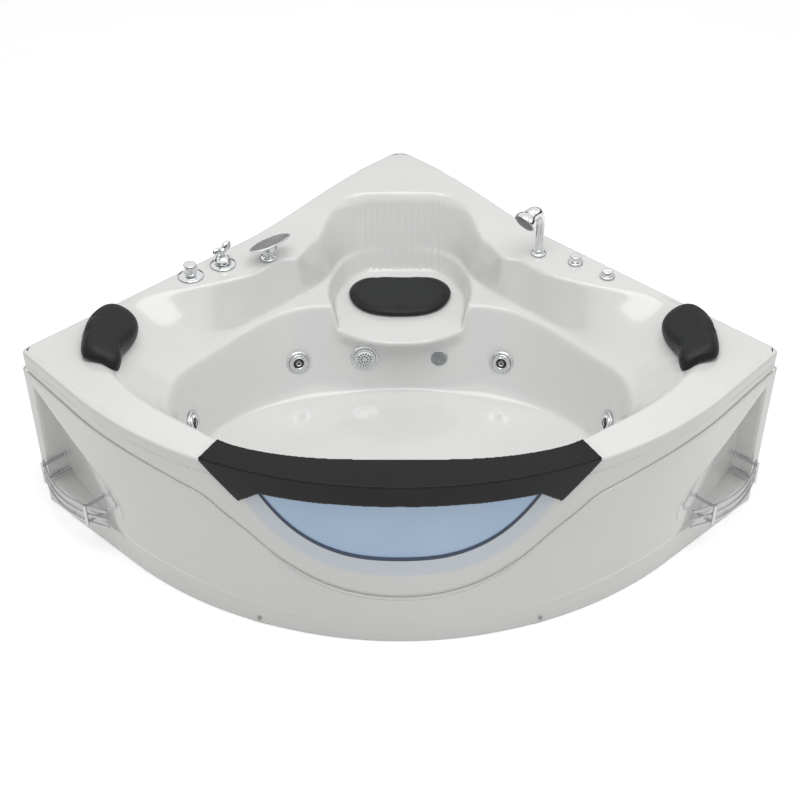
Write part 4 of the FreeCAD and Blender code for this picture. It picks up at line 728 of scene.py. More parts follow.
# %% Open smooth lines
def spline_through(knots, count):
    """Natural cubic spline through points, evenly resampled."""
    knots = np.asarray(knots, float)
    steps = np.concatenate([[0], np.cumsum(np.linalg.norm(np.diff(knots, axis=0), axis=1))])
    gaps = np.diff(steps)
    total = len(knots)
    matrix = np.eye(total)
    side = np.zeros((total, knots.shape[1]))
    for i in range(1, total - 1):
        matrix[i, i - 1 : i + 2] = (gaps[i - 1], 2 * (gaps[i - 1] + gaps[i]), gaps[i])
        side[i] = 6 * ((knots[i + 1] - knots[i]) / gaps[i] - (knots[i] - knots[i - 1]) / gaps[i - 1])
    bend = np.linalg.solve(matrix, side)
    points = []
    for i, gap in enumerate(gaps):
        t = np.linspace(0, 1, 50, endpoint=i == total - 2)[:, None]
        a, b = 1 - t, t
        curve = ((a**3 - a) * bend[i] + (b**3 - b) * bend[i + 1]) * gap**2 / 6
        points.append(a * knots[i] + b * knots[i + 1] + curve)
    return evenly(np.concatenate(points), count, closed=False)


WINDOW_HALF, WINDOW_DROP = 392.0, 266.0


def window_line(grow, count=500):
    """The opening's closed outline as (x, level), wider by grow."""
    half, drop, top = WINDOW_HALF + grow, WINDOW_DROP + grow, -30.0
    shares = [(1.0, 0.0), (0.89, 0.30), (0.69, 0.68), (0.36, 0.95)]
    left = [(-half * x, top - (drop + top) * z) for x, z in shares]
    curve = spline_through(left + [(0, -drop)] + [(-x, z) for x, z in reversed(left)], 900)
    return evenly(curve, count, closed=True)


CREASE_SHARES = [(1.02, 0.0), (0.77, 0.05), (0.61, 0.10), (0.53, 0.15), (0.48, 0.20), (0.44, 0.30)]
CREASE_SHARES += [(0.38, 0.45), (0.32, 0.63), (0.25, 0.79), (0.19, 0.89), (0.12, 0.96), (0.0, 1.0)]
CREASE_END, CREASE_CENTRE = -62.0, -391.0
crease_left = [(-HALF * x, CREASE_END + (CREASE_CENTRE - CREASE_END) * z) for x, z in CREASE_SHARES]
CREASE = spline_through(crease_left + [(-x, z) for x, z in reversed(crease_left[:-1])], 1200)


def crease_level(x):
    return np.interp(x, CREASE[:, 0], CREASE[:, 1])


WINDOW_X = np.arange(-1120, 1121, 6.0)
WINDOW_Z = np.arange(-480, 41, 6.0)
WINDOW = distance_grid(window_line(0.0, LINE_COUNT), WINDOW_X, WINDOW_Z)


def in_window(x, level):
    """Signed distance inside the opening, in millimetres."""
    return read_grid(WINDOW, x, level, WINDOW_X, WINDOW_Z)


print("window from", window_line(0).min(0).round(), "to", window_line(0).max(0).round())

# %% [markdown]
# ## The front's plan at every level
# Rim and base have slightly different bows, so the front tapers. For each column we take the same share
# of both lines and mix them by height. Pieces of the front ask this function where the surface lies.

# %% Front surface
FRONT_STEPS = 2400
FRONT_LINES = {}


def front_half(inset, front, angle):
    """The part of the plan that faces the room, left to right."""
    line = rim_line(inset, front, angle, count=6000)
    line = line[line[:, 1] > HALF - 2]
    line = line[np.argsort(np.arctan2(line[:, 0], line[:, 1] - 500))]
    return evenly(line, FRONT_STEPS, closed=False)


def front_lines(inset):
    return front_half(inset, FRONT, RIM_ANGLE), front_half(inset, BASE_FRONT, BASE_ANGLE)


def taper_share(level):
    return np.clip((-RIM_DROP - level) / (DECK - RIM_DROP), 0, 1)


def front_depth(x, level, inset=0.0):
    """Depth of the outer surface at x on one level."""
    if inset not in FRONT_LINES:
        FRONT_LINES[inset] = front_lines(inset)
    high, low = (np.interp(x, *line.T) for line in FRONT_LINES[inset])
    share = taper_share(level)
    return high * (1 - share) + low * share


BEVEL_WIDTH, BEVEL_DEPTH = 50.0, 12.0


def recess(x, level):
    """How far the window's bevel lies behind the front surface."""
    away = -in_window(x, level)
    return soft_max(0 * away, BEVEL_DEPTH * (1 - away / BEVEL_WIDTH), 2.0)


print("front depth at the middle", round(float(front_depth(np.array([0.0]), np.array([-300.0]))[0]), 1))

# %% [markdown]
# ## The skin round the window
# A flat grid in x and level is cut to shape first: its points near the opening and near the hidden
# bottom edge are moved onto those lines. Only then is it bent onto the front and its bevel pressed in.


# %% Window surround
IN_FRONT = 1700.0


def flat_grid(x_low, x_high, z_low, z_high, step):
    xs = np.arange(x_low, x_high + step / 2, step)
    zs = np.arange(z_low, z_high + step / 2, step)
    grid_x, grid_z = np.meshgrid(xs, zs, indexing="ij")
    faces = [tuple(reversed(face)) for face in grid_faces(*grid_x.shape)]
    return np.stack([grid_x.ravel(), grid_z.ravel()], 1), faces


def surround_part(name, inset, step, turned):
    """Front skin between rim band, opening and the S line's hidden margin."""
    flat, faces = flat_grid(-1056, 1056, BAND - step * round(400 / step), BAND, step)
    sheet = np.insert(flat, 1, IN_FRONT, axis=1)
    skin = make_object(name, to_frame(sheet), faces)
    cut_where(skin, lambda q: in_window(q[:, 0], q[:, 2]) + 1.5 - inset)
    cut_where(skin, lambda q: crease_level(q[:, 0]) - 24.0 - q[:, 2])
    x, _, level = from_frame(mesh_points(skin.data)).T
    depth = front_depth(x, level) - recess(x, level) - inset
    move_points(skin, to_frame(np.stack([x, depth, level], 1)))
    if turned:
        turn_faces(skin)
    skin.data.shade_smooth()
    return skin


surround = surround_part("tub_surround", 0.0, 7.0, False)
surround_inner = surround_part("tub_surround_inner", SHEET, 14.0, True)
print("surround", len(surround.data.polygons), "faces")

# %% [markdown]
# ## The window's tunnel
# Front skin and inner wall are about 100 mm apart. A strip joins them round the opening, with a small
# radius on the bather's side. The moulded skin gets its hole along the edge of that radius.


# %% Tunnel and inner hole
def inner_wall_depth(x, level, low=1380.0, high=1600.0):
    """Depth at which the moulded front wall has this level."""
    low = np.full(np.shape(x), low)
    high = np.full(np.shape(x), high)
    for _ in range(26):
        middle = (low + high) / 2
        below = surface_level(x, middle) < level
        low, high = np.where(below, middle, low), np.where(below, high, middle)
    return (low + high) / 2


TUNNEL_RADIUS, TUNNEL_COLUMNS = 9.0, 400
TUNNEL_INSET = 1.5
tunnel_rows = []
outline = window_line(-TUNNEL_INSET, TUNNEL_COLUMNS)
front_edge = front_depth(*outline.T) - recess(*outline.T)
inner_edge = inner_wall_depth(*outline.T)
for share in np.linspace(0, 1, 9):
    depth = front_edge * (1 - share) + (inner_edge + TUNNEL_RADIUS) * share
    tunnel_rows.append(np.stack([outline[:, 0], depth, outline[:, 1]], 1))
for turn in np.linspace(0, math.pi / 2, 6)[1:]:
    grown = window_line(-TUNNEL_INSET + TUNNEL_RADIUS * (1 - math.cos(turn)), TUNNEL_COLUMNS)
    depth = inner_wall_depth(*grown.T) + TUNNEL_RADIUS * (1 - math.sin(turn))
    tunnel_rows.append(np.stack([grown[:, 0], depth, grown[:, 1]], 1))
tunnel_faces = grid_faces(len(tunnel_rows), TUNNEL_COLUMNS, True)
tunnel = make_object("tub_window_tunnel", to_frame(np.concatenate(tunnel_rows)), tunnel_faces)


def pierce(obj, grow):
    """Opens a skin's front wall along the window's outline."""
    cut_where(obj, lambda q: np.where(q[:, 1] > 1440, in_window(q[:, 0], q[:, 2]) + grow, -50.0))


pierce(moulding, TUNNEL_RADIUS - TUNNEL_INSET)
pierce(underside, 4.0)
print("tunnel", len(tunnel.data.polygons), "faces; skin now", len(moulding.data.polygons))

# %% [markdown]
# ## One tub from its skins
# The parts of the tub are one sheet of acrylic, so they become one object. Its body in the frame is
# the tub, it stands for the solid shell, and it takes the shell's finish.


# %% Join the tub
def joined(name, parts):
    """One object from several, with close points merged."""
    work = bmesh.new()
    for part in parts:
        work.from_mesh(part.data)
        bpy.data.objects.remove(part)
    bmesh.ops.remove_doubles(work, verts=work.verts, dist=2e-5)
    mesh = bpy.data.meshes.new(name)
    work.to_mesh(mesh)
    work.free()
    mesh.shade_smooth()
    return placed(name, mesh)


def corner_backing(inset=23.0, radius=15, sides=24):
    """Two small discs close under the seam where the rim turns sharply at its end corners."""
    line = rim_line(inset, count=RIM_COUNT)
    points = []
    for x, depth in (line[np.argmin(line[:, 0])], line[np.argmax(line[:, 0])]):
        level = float(deck_level(x, depth)) - 0.6
        for turn in full_turn(sides):
            points.append((x + radius * math.cos(turn), depth + radius * math.sin(turn), level))
    faces = [tuple(range(sides)), tuple(range(sides, 2 * sides))]
    return make_object("tub_corner_backing", to_frame(np.array(points)), faces)


skins = [moulding, rim, rim_inner, lip, surround, surround_inner, tunnel, underside]
tub = joined("tub_skin", skins + [corner_backing()])
# The sloping band round the window gets a painted bluish shade; each point stores how much of it it
# takes.
x, depth, level = from_frame(mesh_points(tub.data)).T
away = -in_window(x, level)
fading = 1 - ramp(away, BEVEL_WIDTH - 9, BEVEL_WIDTH - 1)
store(tub, "bevel", ramp(away, -1, 4) * fading * (depth > 1500))
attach(tub, "tub")
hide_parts("tub_shell")
triangles = sum(len(face.vertices) - 2 for face in tub.data.polygons)
print("tub skin", len(tub.data.polygons), "faces,", triangles, "triangles")

# %% [markdown]
# ## The front panel
# The removable panel is a grid: columns follow the bow, rows run from the S line to the floor. The scoop
# for the towel rack is a few sloping planes joined by the same soft maximum as the basin, and a shallow
# ridge marks the plinth.

# %% Front panel
PROUD = 6.0
END_ANGLE = math.radians((RIM_ANGLE + BASE_ANGLE) / 2)
NICHE_LOW, NICHE_HIGH = -469.0, -106.0
NICHE_START, NICHE_SLANT = 56.0, 14.0
NICHE_DEPTH, NICHE_REACH = 66, 500.0
RIDGE = [(-1080, -458), (-810, -461), (-634, -464), (-364, -480), (-190, -485), (0, -489)]


def end_terms(x, depth):
    """Along the end's straight front, and out from it."""
    x = -np.abs(x)
    along = (x + HALF) * math.cos(END_ANGLE) + (depth - HALF) * math.sin(END_ANGLE)
    out = -(x + HALF) * math.sin(END_ANGLE) + (depth - HALF) * math.cos(END_ANGLE)
    return along, out


def niche_fall(level):
    """How far down the scoop's outer edge a level lies; 0 is its top, 1 its foot."""
    return (NICHE_HIGH - level) / (NICHE_HIGH - NICHE_LOW)


def niche_out(along, level):
    """Surface of the scoop, as a distance out from the end's line."""
    inner = along - NICHE_START
    back = -NICHE_DEPTH + inner * 57 / 358
    left = (NICHE_START - NICHE_SLANT * niche_fall(level) - along) * 6.2
    top_level = NICHE_HIGH - inner * 244 / 396
    reach = np.clip(74 - inner * 0.114, 30, 80)
    top = (level - top_level) * np.clip(-back, 8, 80) / reach
    low = (NICHE_LOW - level) * 8.0
    right = (along - 452) * 0.24
    scoop = soft_max(soft_max(back, top, 16), soft_max(left, low, 6), 12)
    return soft_max(scoop, right, 10) + 6


def lean_columns(x, depth, level):
    """Shifts columns by the niche so that they run along its slanted edge."""
    along, _ = end_terms(x, depth)
    weight = ramp(along, 8, 36) * (1 - ramp(along, 76, 150))
    shift = -NICHE_SLANT * np.clip(niche_fall(level), 0, 1) * weight
    side = np.where(x < 0, 1.0, -1.0)
    return x + side * shift * math.cos(END_ANGLE), depth + shift * math.sin(END_ANGLE)


def panel_point(x, depth, level):
    """Presses niches and the plinth's ridge into the panel."""
    x, depth = lean_columns(x, depth, level)
    along, out = end_terms(x, depth)
    pressed = soft_min(out, niche_out(along, level), 9)
    ridge = np.interp(-np.abs(x), *np.array(RIDGE, float).T)
    step = 3.2 * ramp(ridge - level, -4, 9) * (1 - ramp(-np.abs(x), -330, -40) * 0.7)
    push = pressed - out - step
    side = np.where(x < 0, 1.0, -1.0)
    at_end = np.abs(x) > NICHE_REACH
    new_x = x - side * push * math.sin(END_ANGLE) * at_end
    return new_x, depth + push * np.where(at_end, math.cos(END_ANGLE), 1.0)


def panel_rows(crease):
    """Levels of one column from its top edge to the floor."""
    upper = np.linspace(0, 1, 46)[:, None] * (NICHE_LOW + 8 - crease) + crease
    levels = [NICHE_LOW + 5, NICHE_LOW + 2.5, NICHE_LOW, *np.linspace(NICHE_LOW - 5, -DECK + 3, 13)]
    return np.concatenate([upper, np.repeat(np.array(levels)[:, None], len(crease), axis=1)])


COLUMN_STEPS = [(0, 0.008, 4), (0.008, 0.03, 24), (0.03, 0.30, 130)]
end_half = np.concatenate([np.linspace(*steps, endpoint=False) for steps in COLUMN_STEPS])
columns = np.concatenate([end_half, np.linspace(0.30, 0.70, 121), 1 - end_half[::-1]])


def column_places(inset):
    """Plan places of the columns at the rim and at the floor."""
    shares = np.linspace(0, 1, FRONT_STEPS)
    lines = front_lines(inset)
    return [np.stack([np.interp(columns, shares, part) for part in line.T], 1) for line in lines]


def tapered(high, low, level):
    share = taper_share(level)[:, None]
    return high * (1 - share) + low * share


high, low = column_places(-PROUD)
levels = panel_rows(crease_level(high[:, 0]))
rows = []
for row in levels:
    x, depth = panel_point(*tapered(high, low, row).T, row)
    rows.append(np.stack([x, depth, row], 1))
lip_row = tapered(*column_places(-0.9), levels[0])
edge_rows = []
for inward, drop in ((1.0, 4.0), (1.0, 0.6), (0.72, 0.0), (0.42, 0.0), (0.16, 1.0), (0.03, 2.6)):
    flat = rows[0][:, :2] * (1 - inward) + lip_row * inward
    edge_rows.append(np.column_stack([flat, levels[0] - drop]))
rows[0] = np.column_stack([rows[0][:, :2], levels[0] - 4.5])
rows = edge_rows + rows
panel = make_object("panel_front", to_frame(np.concatenate(rows)), grid_faces(len(rows), len(columns)))
turn_faces(panel)
thick = panel.modifiers.new("sheet", "SOLIDIFY")
thick.thickness = 0.0036
thick.offset = -1
plain_mesh(panel)
panel.data.shade_smooth()
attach(panel, "tub")
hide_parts("front_panel")
print("panel", len(panel.data.polygons), "faces")

# %% [markdown]
# ## Turned parts
# Taps, jets and the drain are turned on a lathe, so their section is enough: corners given as (radius,
# height). Real edges are never sharp, so each corner first gets a small bend before the section is spun.


# %% Lathe helper
def rounded(corners, radius):
    """The closed section with every corner off the axis bent by a small arc."""
    points = [np.array(q, float) for q in corners]
    result = []
    for index, here in enumerate(points):
        before, after = points[index - 1], points[(index + 1) % len(points)]
        if here[0] < 0.01:
            result.append(here)
            continue
        back, ahead = before - here, after - here
        reach = min(radius, np.linalg.norm(back) * 0.45, np.linalg.norm(ahead) * 0.45)
        start = here + back / np.linalg.norm(back) * reach
        stop = here + ahead / np.linalg.norm(ahead) * reach
        for t in (0.0, 0.33, 0.67, 1.0):
            result.append(start * (1 - t) ** 2 + here * 2 * t * (1 - t) + stop * t**2)
    return np.array(result)


def fitting_axes(direction):
    """Rotation that takes +Z to a direction."""
    return np.array(Vector(direction).to_track_quat("Z", "Y").to_matrix())


def turned_form(name, corners, place, direction=(0, 0, 1), radius=0.8, sides=72, press=None):
    """A closed turned mesh; place is in the frame's millimetres."""
    section = rounded(corners, radius)
    angles = full_turn(sides)
    circle = np.stack([np.cos(angles), np.sin(angles)], 1)
    rings = [np.column_stack([reach * circle, np.full(sides, height)]) for reach, height in section]
    points = np.concatenate(rings)
    if press is not None:
        points[:, 2] -= press(points)
    points = points @ fitting_axes(direction).T + np.array(place, float)
    faces = grid_faces(len(section), sides, True)
    top = (len(section) - 1) * sides
    faces += [(top + k, top + (k + 1) % sides, (k + 1) % sides, k) for k in range(sides)]
    return outward(make_object(name, points / 1000, faces))


def threaded(bore, foot, tail, nut, low, high, seat):
    """A fitting's section from its tail's foot past its lock nut to its seat."""
    return [(bore, foot), (tail, foot), (tail, low), (nut, low), (nut, high), (tail, high), (tail, seat)]


SETTLED = []


def settle(piece, body, slot, *nodes):
    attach(piece, body)
    if nodes:
        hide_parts(*nodes)
    piece.data.shade_smooth()
    SETTLED.append((piece, slot))
    return piece


UP = np.array([0.0, 0.0, 1.0])
TAPS = {
    "diverter": (-633.0, 701.0),
    "mixer": (-542.0, 637.0),
    "spout": (-406.0, 600.0),
    "holder": (429.0, 574.0),
    "switch": (538.0, 626.0),
    "regulator": (627.0, 703.0),
}
TAPS = {name: np.array([x, BACK_Y - depth, DECK]) for name, (x, depth) in TAPS.items()}
print("taps on the deck", len(TAPS))

# %% [markdown]
# ## Deck taps on the left ledge
# Three chrome fittings stand there: a diverter with a plain round knob, a mixer with a domed head and a
# leaf lever, and the waterfall spout. Below the deck each has its threaded tail and its nut.

# %% Diverter and mixer
FLANGE, TAIL, NUT = 39.0, 14.0, 23.0
NUT_LOW, NUT_HIGH = -16.3, -6.3
tap_base = threaded(0, -70, TAIL, NUT, NUT_LOW, NUT_HIGH, 0) + [(FLANGE, 0), (FLANGE, 2.2)]
tap_base += [(FLANGE - 2.5, 3.8), (FLANGE - 9, 6.4), (22, 7.6), (18, 9), (9, 9), (9, -5), (0, -5)]
for name in ("diverter", "mixer"):
    base = turned_form(name + "_flange", tap_base, TAPS[name], radius=1.6)
    settle(base, "tub", "chrome", name + "_base")

knob_section = [(0, -4.7), (8.95, -4.7), (8.95, 9.3), (17.5, 9.3), (19, 13), (20.6, 16), (21, 20)]
knob_section += [(20.4, 38), (19, 42), (15, 43.3), (6, 42.6), (0, 42.4)]
knob = turned_form("diverter_handle", knob_section, TAPS["diverter"], radius=1.6)
settle(knob, "diverter", "chrome", "diverter_knob")
print("tap bases", len(base.data.polygons), "faces each")

# %% [markdown]
# ## Pieces that were cast, not turned
# The lever, the spout's foot, the hand shower and the cap have no single section. Their solids, or a few
# overlapping forms, are joined, remeshed with small voxels and relaxed. That melts every inner edge into
# a soft radius, as polishing does.


# %% Melt forms together
SOFTENING, SWELL_BACK = 0.6, 0.32


def merged_copy(name, source):
    """A mesh object from a solid of the frame, with its loose triangles joined."""
    work = bmesh.new()
    work.from_mesh(source.data)
    bmesh.ops.remove_doubles(work, verts=work.verts, dist=1e-6)
    mesh = bpy.data.meshes.new(name)
    work.to_mesh(mesh)
    work.free()
    return placed(name, mesh)


def melted(name, parts, grain, rounds):
    """Overlapping closed parts as one even skin, relaxed a few times and swelled back."""
    whole = remeshed(joined(name, parts), grain / 1000)
    points = mesh_points(whole.data)
    edges = mesh_edges(whole.data)
    for _ in range(rounds):
        points = relaxed(points, edges, SOFTENING)
        points = points * (1 + SWELL_BACK) - relaxed(points, edges, SOFTENING) * SWELL_BACK
    move_points(whole, points)
    whole.data.shade_smooth()
    return whole


def melted_node(name, node, grain, rounds):
    return melted(name, [merged_copy(name + "_copy", frame["nodes"][node])], grain, rounds)


def swept_form(name, path, radii, sides=40):
    """A closed round form along a path in the frame's millimetres."""
    path = np.asarray(path, float)
    radii = np.interp(np.linspace(0, 1, len(path)), np.linspace(0, 1, len(radii)), radii)
    ahead = np.gradient(path, axis=0)
    ahead /= np.linalg.norm(ahead, axis=1)[:, None]
    side = np.cross(ahead[0], (0.3, 0.9, 0.2))
    rings = []
    turns = full_turn(sides)[:, None]
    for place, direction, radius in zip(path, ahead, radii):
        side = side - direction * side.dot(direction)
        side /= np.linalg.norm(side)
        other = np.cross(direction, side)
        rings.append(place + radius * (np.cos(turns) * side + np.sin(turns) * other))
    faces = grid_faces(len(path), sides, True)
    faces += [tuple(range(sides)), tuple((len(path) - 1) * sides + k for k in reversed(range(sides)))]
    return outward(make_object(name, np.concatenate(rings) / 1000, faces))


HUB_HEIGHT, HUB_ROOM = 33.3, 0.08
LEAF_WIDER, LEAF_TALLER, LEAF_FOOT = 0.34, 0.25, 46
lever = melted_node("mixer_leaf", "mixer_lever", 0.9, 3)
shape = mesh_points(lever.data) * 1000 - TAPS["mixer"]
# The hub gets room in the dome's trough, and the leaf above it grows to the photo's width.
hub = UP * HUB_HEIGHT
slimmer = 1 - HUB_ROOM * (1 - ramp(shape[:, 2], 38, 44))[:, None]
shape = hub + (shape - hub) * slimmer
share = ramp(shape[:, 2], 42, 52)[:, None]
wider = 1 + share * np.array([LEAF_WIDER, LEAF_WIDER, 0.0])
shape = shape * wider + UP * share * (shape[:, 2:] - LEAF_FOOT) * LEAF_TALLER
move_points(lever, (shape + TAPS["mixer"]) / 1000)
settle(lever, "lever", "chrome", "mixer_lever")
dome = melted_node("mixer_head", "mixer_dome", 0.9, 2)
settle(dome, "mixer", "chrome", "mixer_dome")
print("lever", len(lever.data.polygons), "faces, head", len(dome.data.polygons))

# %% [markdown]
# ## The waterfall spout
# Water runs out over a thin oval plate that leans over the well. It is turned as a round dish first and
# then stretched to an oval, tilted and set on its trumpet-shaped foot.

# %% Spout
PLATE_REACH, PLATE_HEIGHT, PLATE_TILT = 14, 60, -16
PLATE_HALF_LENGTH, PLATE_HALF_WIDTH = 75, 41
place = TAPS["spout"]
along = np.array([ROOT, ROOT, 0.0])
into = np.array([ROOT, -ROOT, 0.0])
plate_middle = place + into * PLATE_REACH + UP * PLATE_HEIGHT
tilt = np.array(Matrix.Rotation(math.radians(PLATE_TILT), 3, Vector(along)))
plate_section = [(0, 0), (30, 0), (39.4, 1.6), (PLATE_HALF_WIDTH, 3.4), (39.6, 5.2), (36, 6.2)]
plate_section += [(20, 5.6), (0, 5.3)]
plate = turned_form("spout_dish", plate_section, (0, 0, 0), radius=1.4, sides=120)
shape = mesh_points(plate.data) * 1000
shape[:, 0] *= PLATE_HALF_LENGTH / PLATE_HALF_WIDTH
turn = np.array(Matrix.Rotation(math.radians(45), 3, "Z"))
shape = shape @ (tilt @ turn).T + plate_middle - UP * 3
move_points(plate, shape / 1000)
settle(plate, "tub", "chrome", "spout_plate")
lean = tilt @ UP
foot_path = [place + UP * 4, place + UP * 18 + into, place + UP * 36 + into * 5]
foot_path += [plate_middle - lean * 16 - into * 1.5, plate_middle - lean * 4.4 - into * 1]
foot = swept_form("spout_stem", spline_through(foot_path, 24), [18, 14.5, 13.2, 16, 23])
collar_section = [(0, 0), (26, 0), (26, 3), (24, 6), (18, 9), (0, 9)]
collar = turned_form("spout_collar", collar_section, place, radius=1.5)
spout_foot = melted("spout_foot", [foot, collar], 1.3, 2)
tail_section = threaded(0, -50, TAIL, NUT, NUT_LOW, NUT_HIGH, 1) + [(0, 1)]
tail = turned_form("spout_tail", tail_section, place, sides=48)
settle(spout_foot, "tub", "chrome", "spout_pedestal")
settle(tail, "tub", "chrome")
print("spout foot", len(spout_foot.data.polygons), "faces")

# %% [markdown]
# ## Hand shower on the right ledge
# The shower stands in a flanged socket. Its round grip rises, bends over in one smooth curve and swells
# into the head. Grip and head are separate forms that are melted into one casting.

# %% Hand shower
STEM_HEIGHT, HEAD_REACH, HEAD_RISE = 110, 56, 28
place = TAPS["holder"]
holder_section = threaded(11.3, -24, TAIL, NUT, NUT_LOW, NUT_HIGH, 0)
holder_section += [(23, 0), (23, 3.4), (21, 5.4), (17.4, 7.2), (16.6, 14), (15.6, 16), (11.3, 16)]
holder = turned_form("shower_socket", holder_section, place, radius=1.2)
settle(holder, "tub", "chrome", "handshower_holder")

toward = np.array([-0.82, -0.57, 0.0])
toward /= np.linalg.norm(toward)
aim = np.array([-0.60, -0.62, -0.50])
aim /= np.linalg.norm(aim)
stem_top = place + UP * STEM_HEIGHT
head_middle = stem_top + toward * HEAD_REACH + UP * HEAD_RISE
grip_points = [place - UP * 22, place + UP * 30, place + UP * 78, stem_top + UP * 2]
grip_points += [stem_top + UP * 26 + toward * 8, stem_top + UP * 42 + toward * 25]
grip_points.append(head_middle - aim * 10)
grip = swept_form("shower_grip", spline_through(grip_points, 60), [11, 11.4, 13.0, 14.0, 15.6, 19, 23])
head_section = [(0, -21), (11, -20.5), (22, -16), (30, -8), (34.5, 1), (36, 8), (36, 14)]
head_section += [(34.5, 15.2), (31.8, 15), (31.8, 11.4), (0, 11.4)]
head = turned_form("shower_head", head_section, head_middle, aim, radius=1.2)
shower = melted("shower_casting", [grip, head], 1.2, 9)
settle(shower, "hand_shower", "chrome", "handshower_body")
face_section = [(0, 11.0), (31.4, 11.0), (31.4, 13.4), (28, 14.6), (14, 15.4), (0, 15.6)]
face = turned_form("shower_spray_plate", face_section, head_middle, aim, radius=0.8)
settle(face, "hand_shower", "spray_face", "handshower_spray_face")
print("hand shower", len(shower.data.polygons), "faces")

# %% [markdown]
# ## Deck controls
# Beside the hand shower stand the air switch, a button to press, and the air regulator, a knob to turn.
# Both have a flanged bezel with a raised collar.

# %% Air switch and regulator
bezel = threaded(0, -46, TAIL, 21, -14.3, NUT_HIGH, 0) + [(23, 0), (23, 2.6)]
bezel += [(21.2, 5.2), (18.6, 6.2), (17.3, 6), (17.3, 2), (10, 2), (10, -16), (0, -16)]
for name, node in (("switch", "air_switch_bezel"), ("regulator", "air_regulator_bezel")):
    settle(turned_form(name + "_collar", bezel, TAPS[name], radius=0.9), "tub", "chrome", node)
button_section = [(0, -11), (9.95, -11), (9.95, 11), (17.6, 11), (18.4, 12.6), (18.2, 22), (17, 24.6)]
button = turned_form("switch_press", button_section + [(14, 25.4), (0, 24.6)], TAPS["switch"], radius=1.0)
settle(button, "air_switch", "chrome", "air_switch_button")


def grip_ridge(points):
    """Low ridge across the top of the regulator's knob."""
    across = np.abs(points[:, 1])
    top = (points[:, 2] > 14) & (np.hypot(points[:, 0], points[:, 1]) < 13)
    return -1.6 * np.clip(1.6 - across, 0, 1) * top


regulator = [(0, -15.6), (9.95, -15.6), (9.95, 2.3), (16.2, 2.3), (17, 5), (16.6, 15), (15.4, 18.4)]
regulator += [(reach, 20) for reach in (13, 11, 9, 7, 5, 3, 1.6, 0)]
knob = turned_form("regulator_grip", regulator, TAPS["regulator"], radius=1.0, sides=96, press=grip_ridge)
settle(knob, "air_regulator", "chrome", "air_regulator_knob")
print("controls done")

# %% [markdown]
# ## Water jets
# Four jets sit in the lower wall. Each has a fixed chrome flange, a ring with a finger notch that turns
# to set the flow, and a ball nozzle in its middle. The notch is pressed into the turned ring.

# %% Jets
SEAT = 1.6
NOTCH_PLACE, NOTCH_DEPTH = 23.5, 4.2
JETS = ("left_side", "left_back", "right_back", "right_side")
JOINTS = {joint["name"]: joint for joint in frame["record"]["behaviour"]["joints"]}


def finger_notch(up_angle):
    """Depth of the notch near the ring's upper edge."""

    def depth(points):
        x, y = points[:, 0], points[:, 1]
        across = -x * math.sin(up_angle) + y * math.cos(up_angle)
        upward = x * math.cos(up_angle) + y * math.sin(up_angle)
        oval = 1 - ((upward - NOTCH_PLACE) / 5.2) ** 2 - (across / 11) ** 2
        return NOTCH_DEPTH * np.clip(oval * 1.6, 0, 1) * (points[:, 2] > 5.2)

    return depth


flange = threaded(0, -58, 26, 34, -20.3, -10.3, SEAT) + [(39, SEAT)]
flange += [(39, SEAT + 1.2), (36.6, SEAT + 3.4), (31.5, SEAT + 3.6), (30.3, SEAT + 1), (17, SEAT + 1)]
flange += [(17, -20), (5, -20), (5, -50), (0, -50)]
ring_section = [(15.6, SEAT + 1.4), (30, SEAT + 1.4), (30, SEAT + 4.4), (28.4, SEAT + 6)]
ring_section += [(reach, SEAT + 6.5) for reach in (26.5, 25, 23.5, 22, 20.5, 19)]
ring_section += [(17.4, SEAT + 6.2), (15.6, SEAT + 4.6)]
ball_section = [(5, -11), (11.6, -9.5), (14.3, -4.5), (15, 0), (14.3, 4.5), (12.4, 8.3), (9.6, 10.6)]
ball_section += [(8.6, 10.2), (8.2, 8.2), (6.4, 8.0), (5, 6.5)]
for name in JETS:
    joint = JOINTS["jet_" + name + "_ring_turn"]
    place, axis = np.array(joint["pos_m"]) * 1000, np.array(joint["axis"])
    high = fitting_axes(axis).T @ UP
    up_angle = math.atan2(high[1], high[0])
    base = turned_form("jet_flange_" + name, flange, place, axis)
    settle(base, "tub", "chrome", "jet_" + name + "_body")
    ring = turned_form("jet_dial_" + name, ring_section, place, axis, 0.6, 120, finger_notch(up_angle))
    settle(ring, "jet_" + name + "_ring", "chrome", "jet_" + name + "_ring")
    ball = turned_form("jet_ball_" + name, ball_section, place, axis, 0.7, 48)
    from_axis = np.cross(mesh_points(ball.data) * 1000 - place, axis / np.linalg.norm(axis))
    store(ball, "reach", np.linalg.norm(from_axis, axis=1))
    settle(ball, "jet_" + name + "_nozzle", "plastic_grey", "jet_" + name + "_nozzle")
print("jets", len(JETS), "of", len(ring.data.polygons), "faces a dial")

# %% [markdown]
# ## Drain
# The waste has a polished dished flange, and its lifting plug a low dome with a small step. The plug's
# solid already has its guide fins, so it is melted like the castings above.

# %% Drain and plug
DRAIN = np.array([-245.0, BACK_Y - 1353.0, DECK + FLOOR_LEVEL])
waste = [(18, -78), (20, -78), (20, -32.3), (24, -32.3), (24, -20.3), (36, -20.3), (36, -6.3)]
waste += [(24, -6.3), (24, 0.3), (35, 0.3), (35, 1.3), (33, 2.9), (28, 2.6), (21, 1.8), (20, 0.6)]
waste += [(20, -14), (18, -14)]
settle(turned_form("drain_flange", waste, DRAIN, radius=0.7), "tub", "chrome", "drain_body")
plug = melted_node("drain_lid", "drain_plug", 0.8, 1)
settle(plug, "plug", "chrome", "drain_plug")
print("plug", len(plug.data.polygons), "faces")

# %% [markdown]
# ## The handrail cap
# A black moulded cap lies over the front rim and turns down over its face. Its solid has the right
# outline but sharp edges. Melted with voxels of about 3 mm they become the soft edges of a moulding.

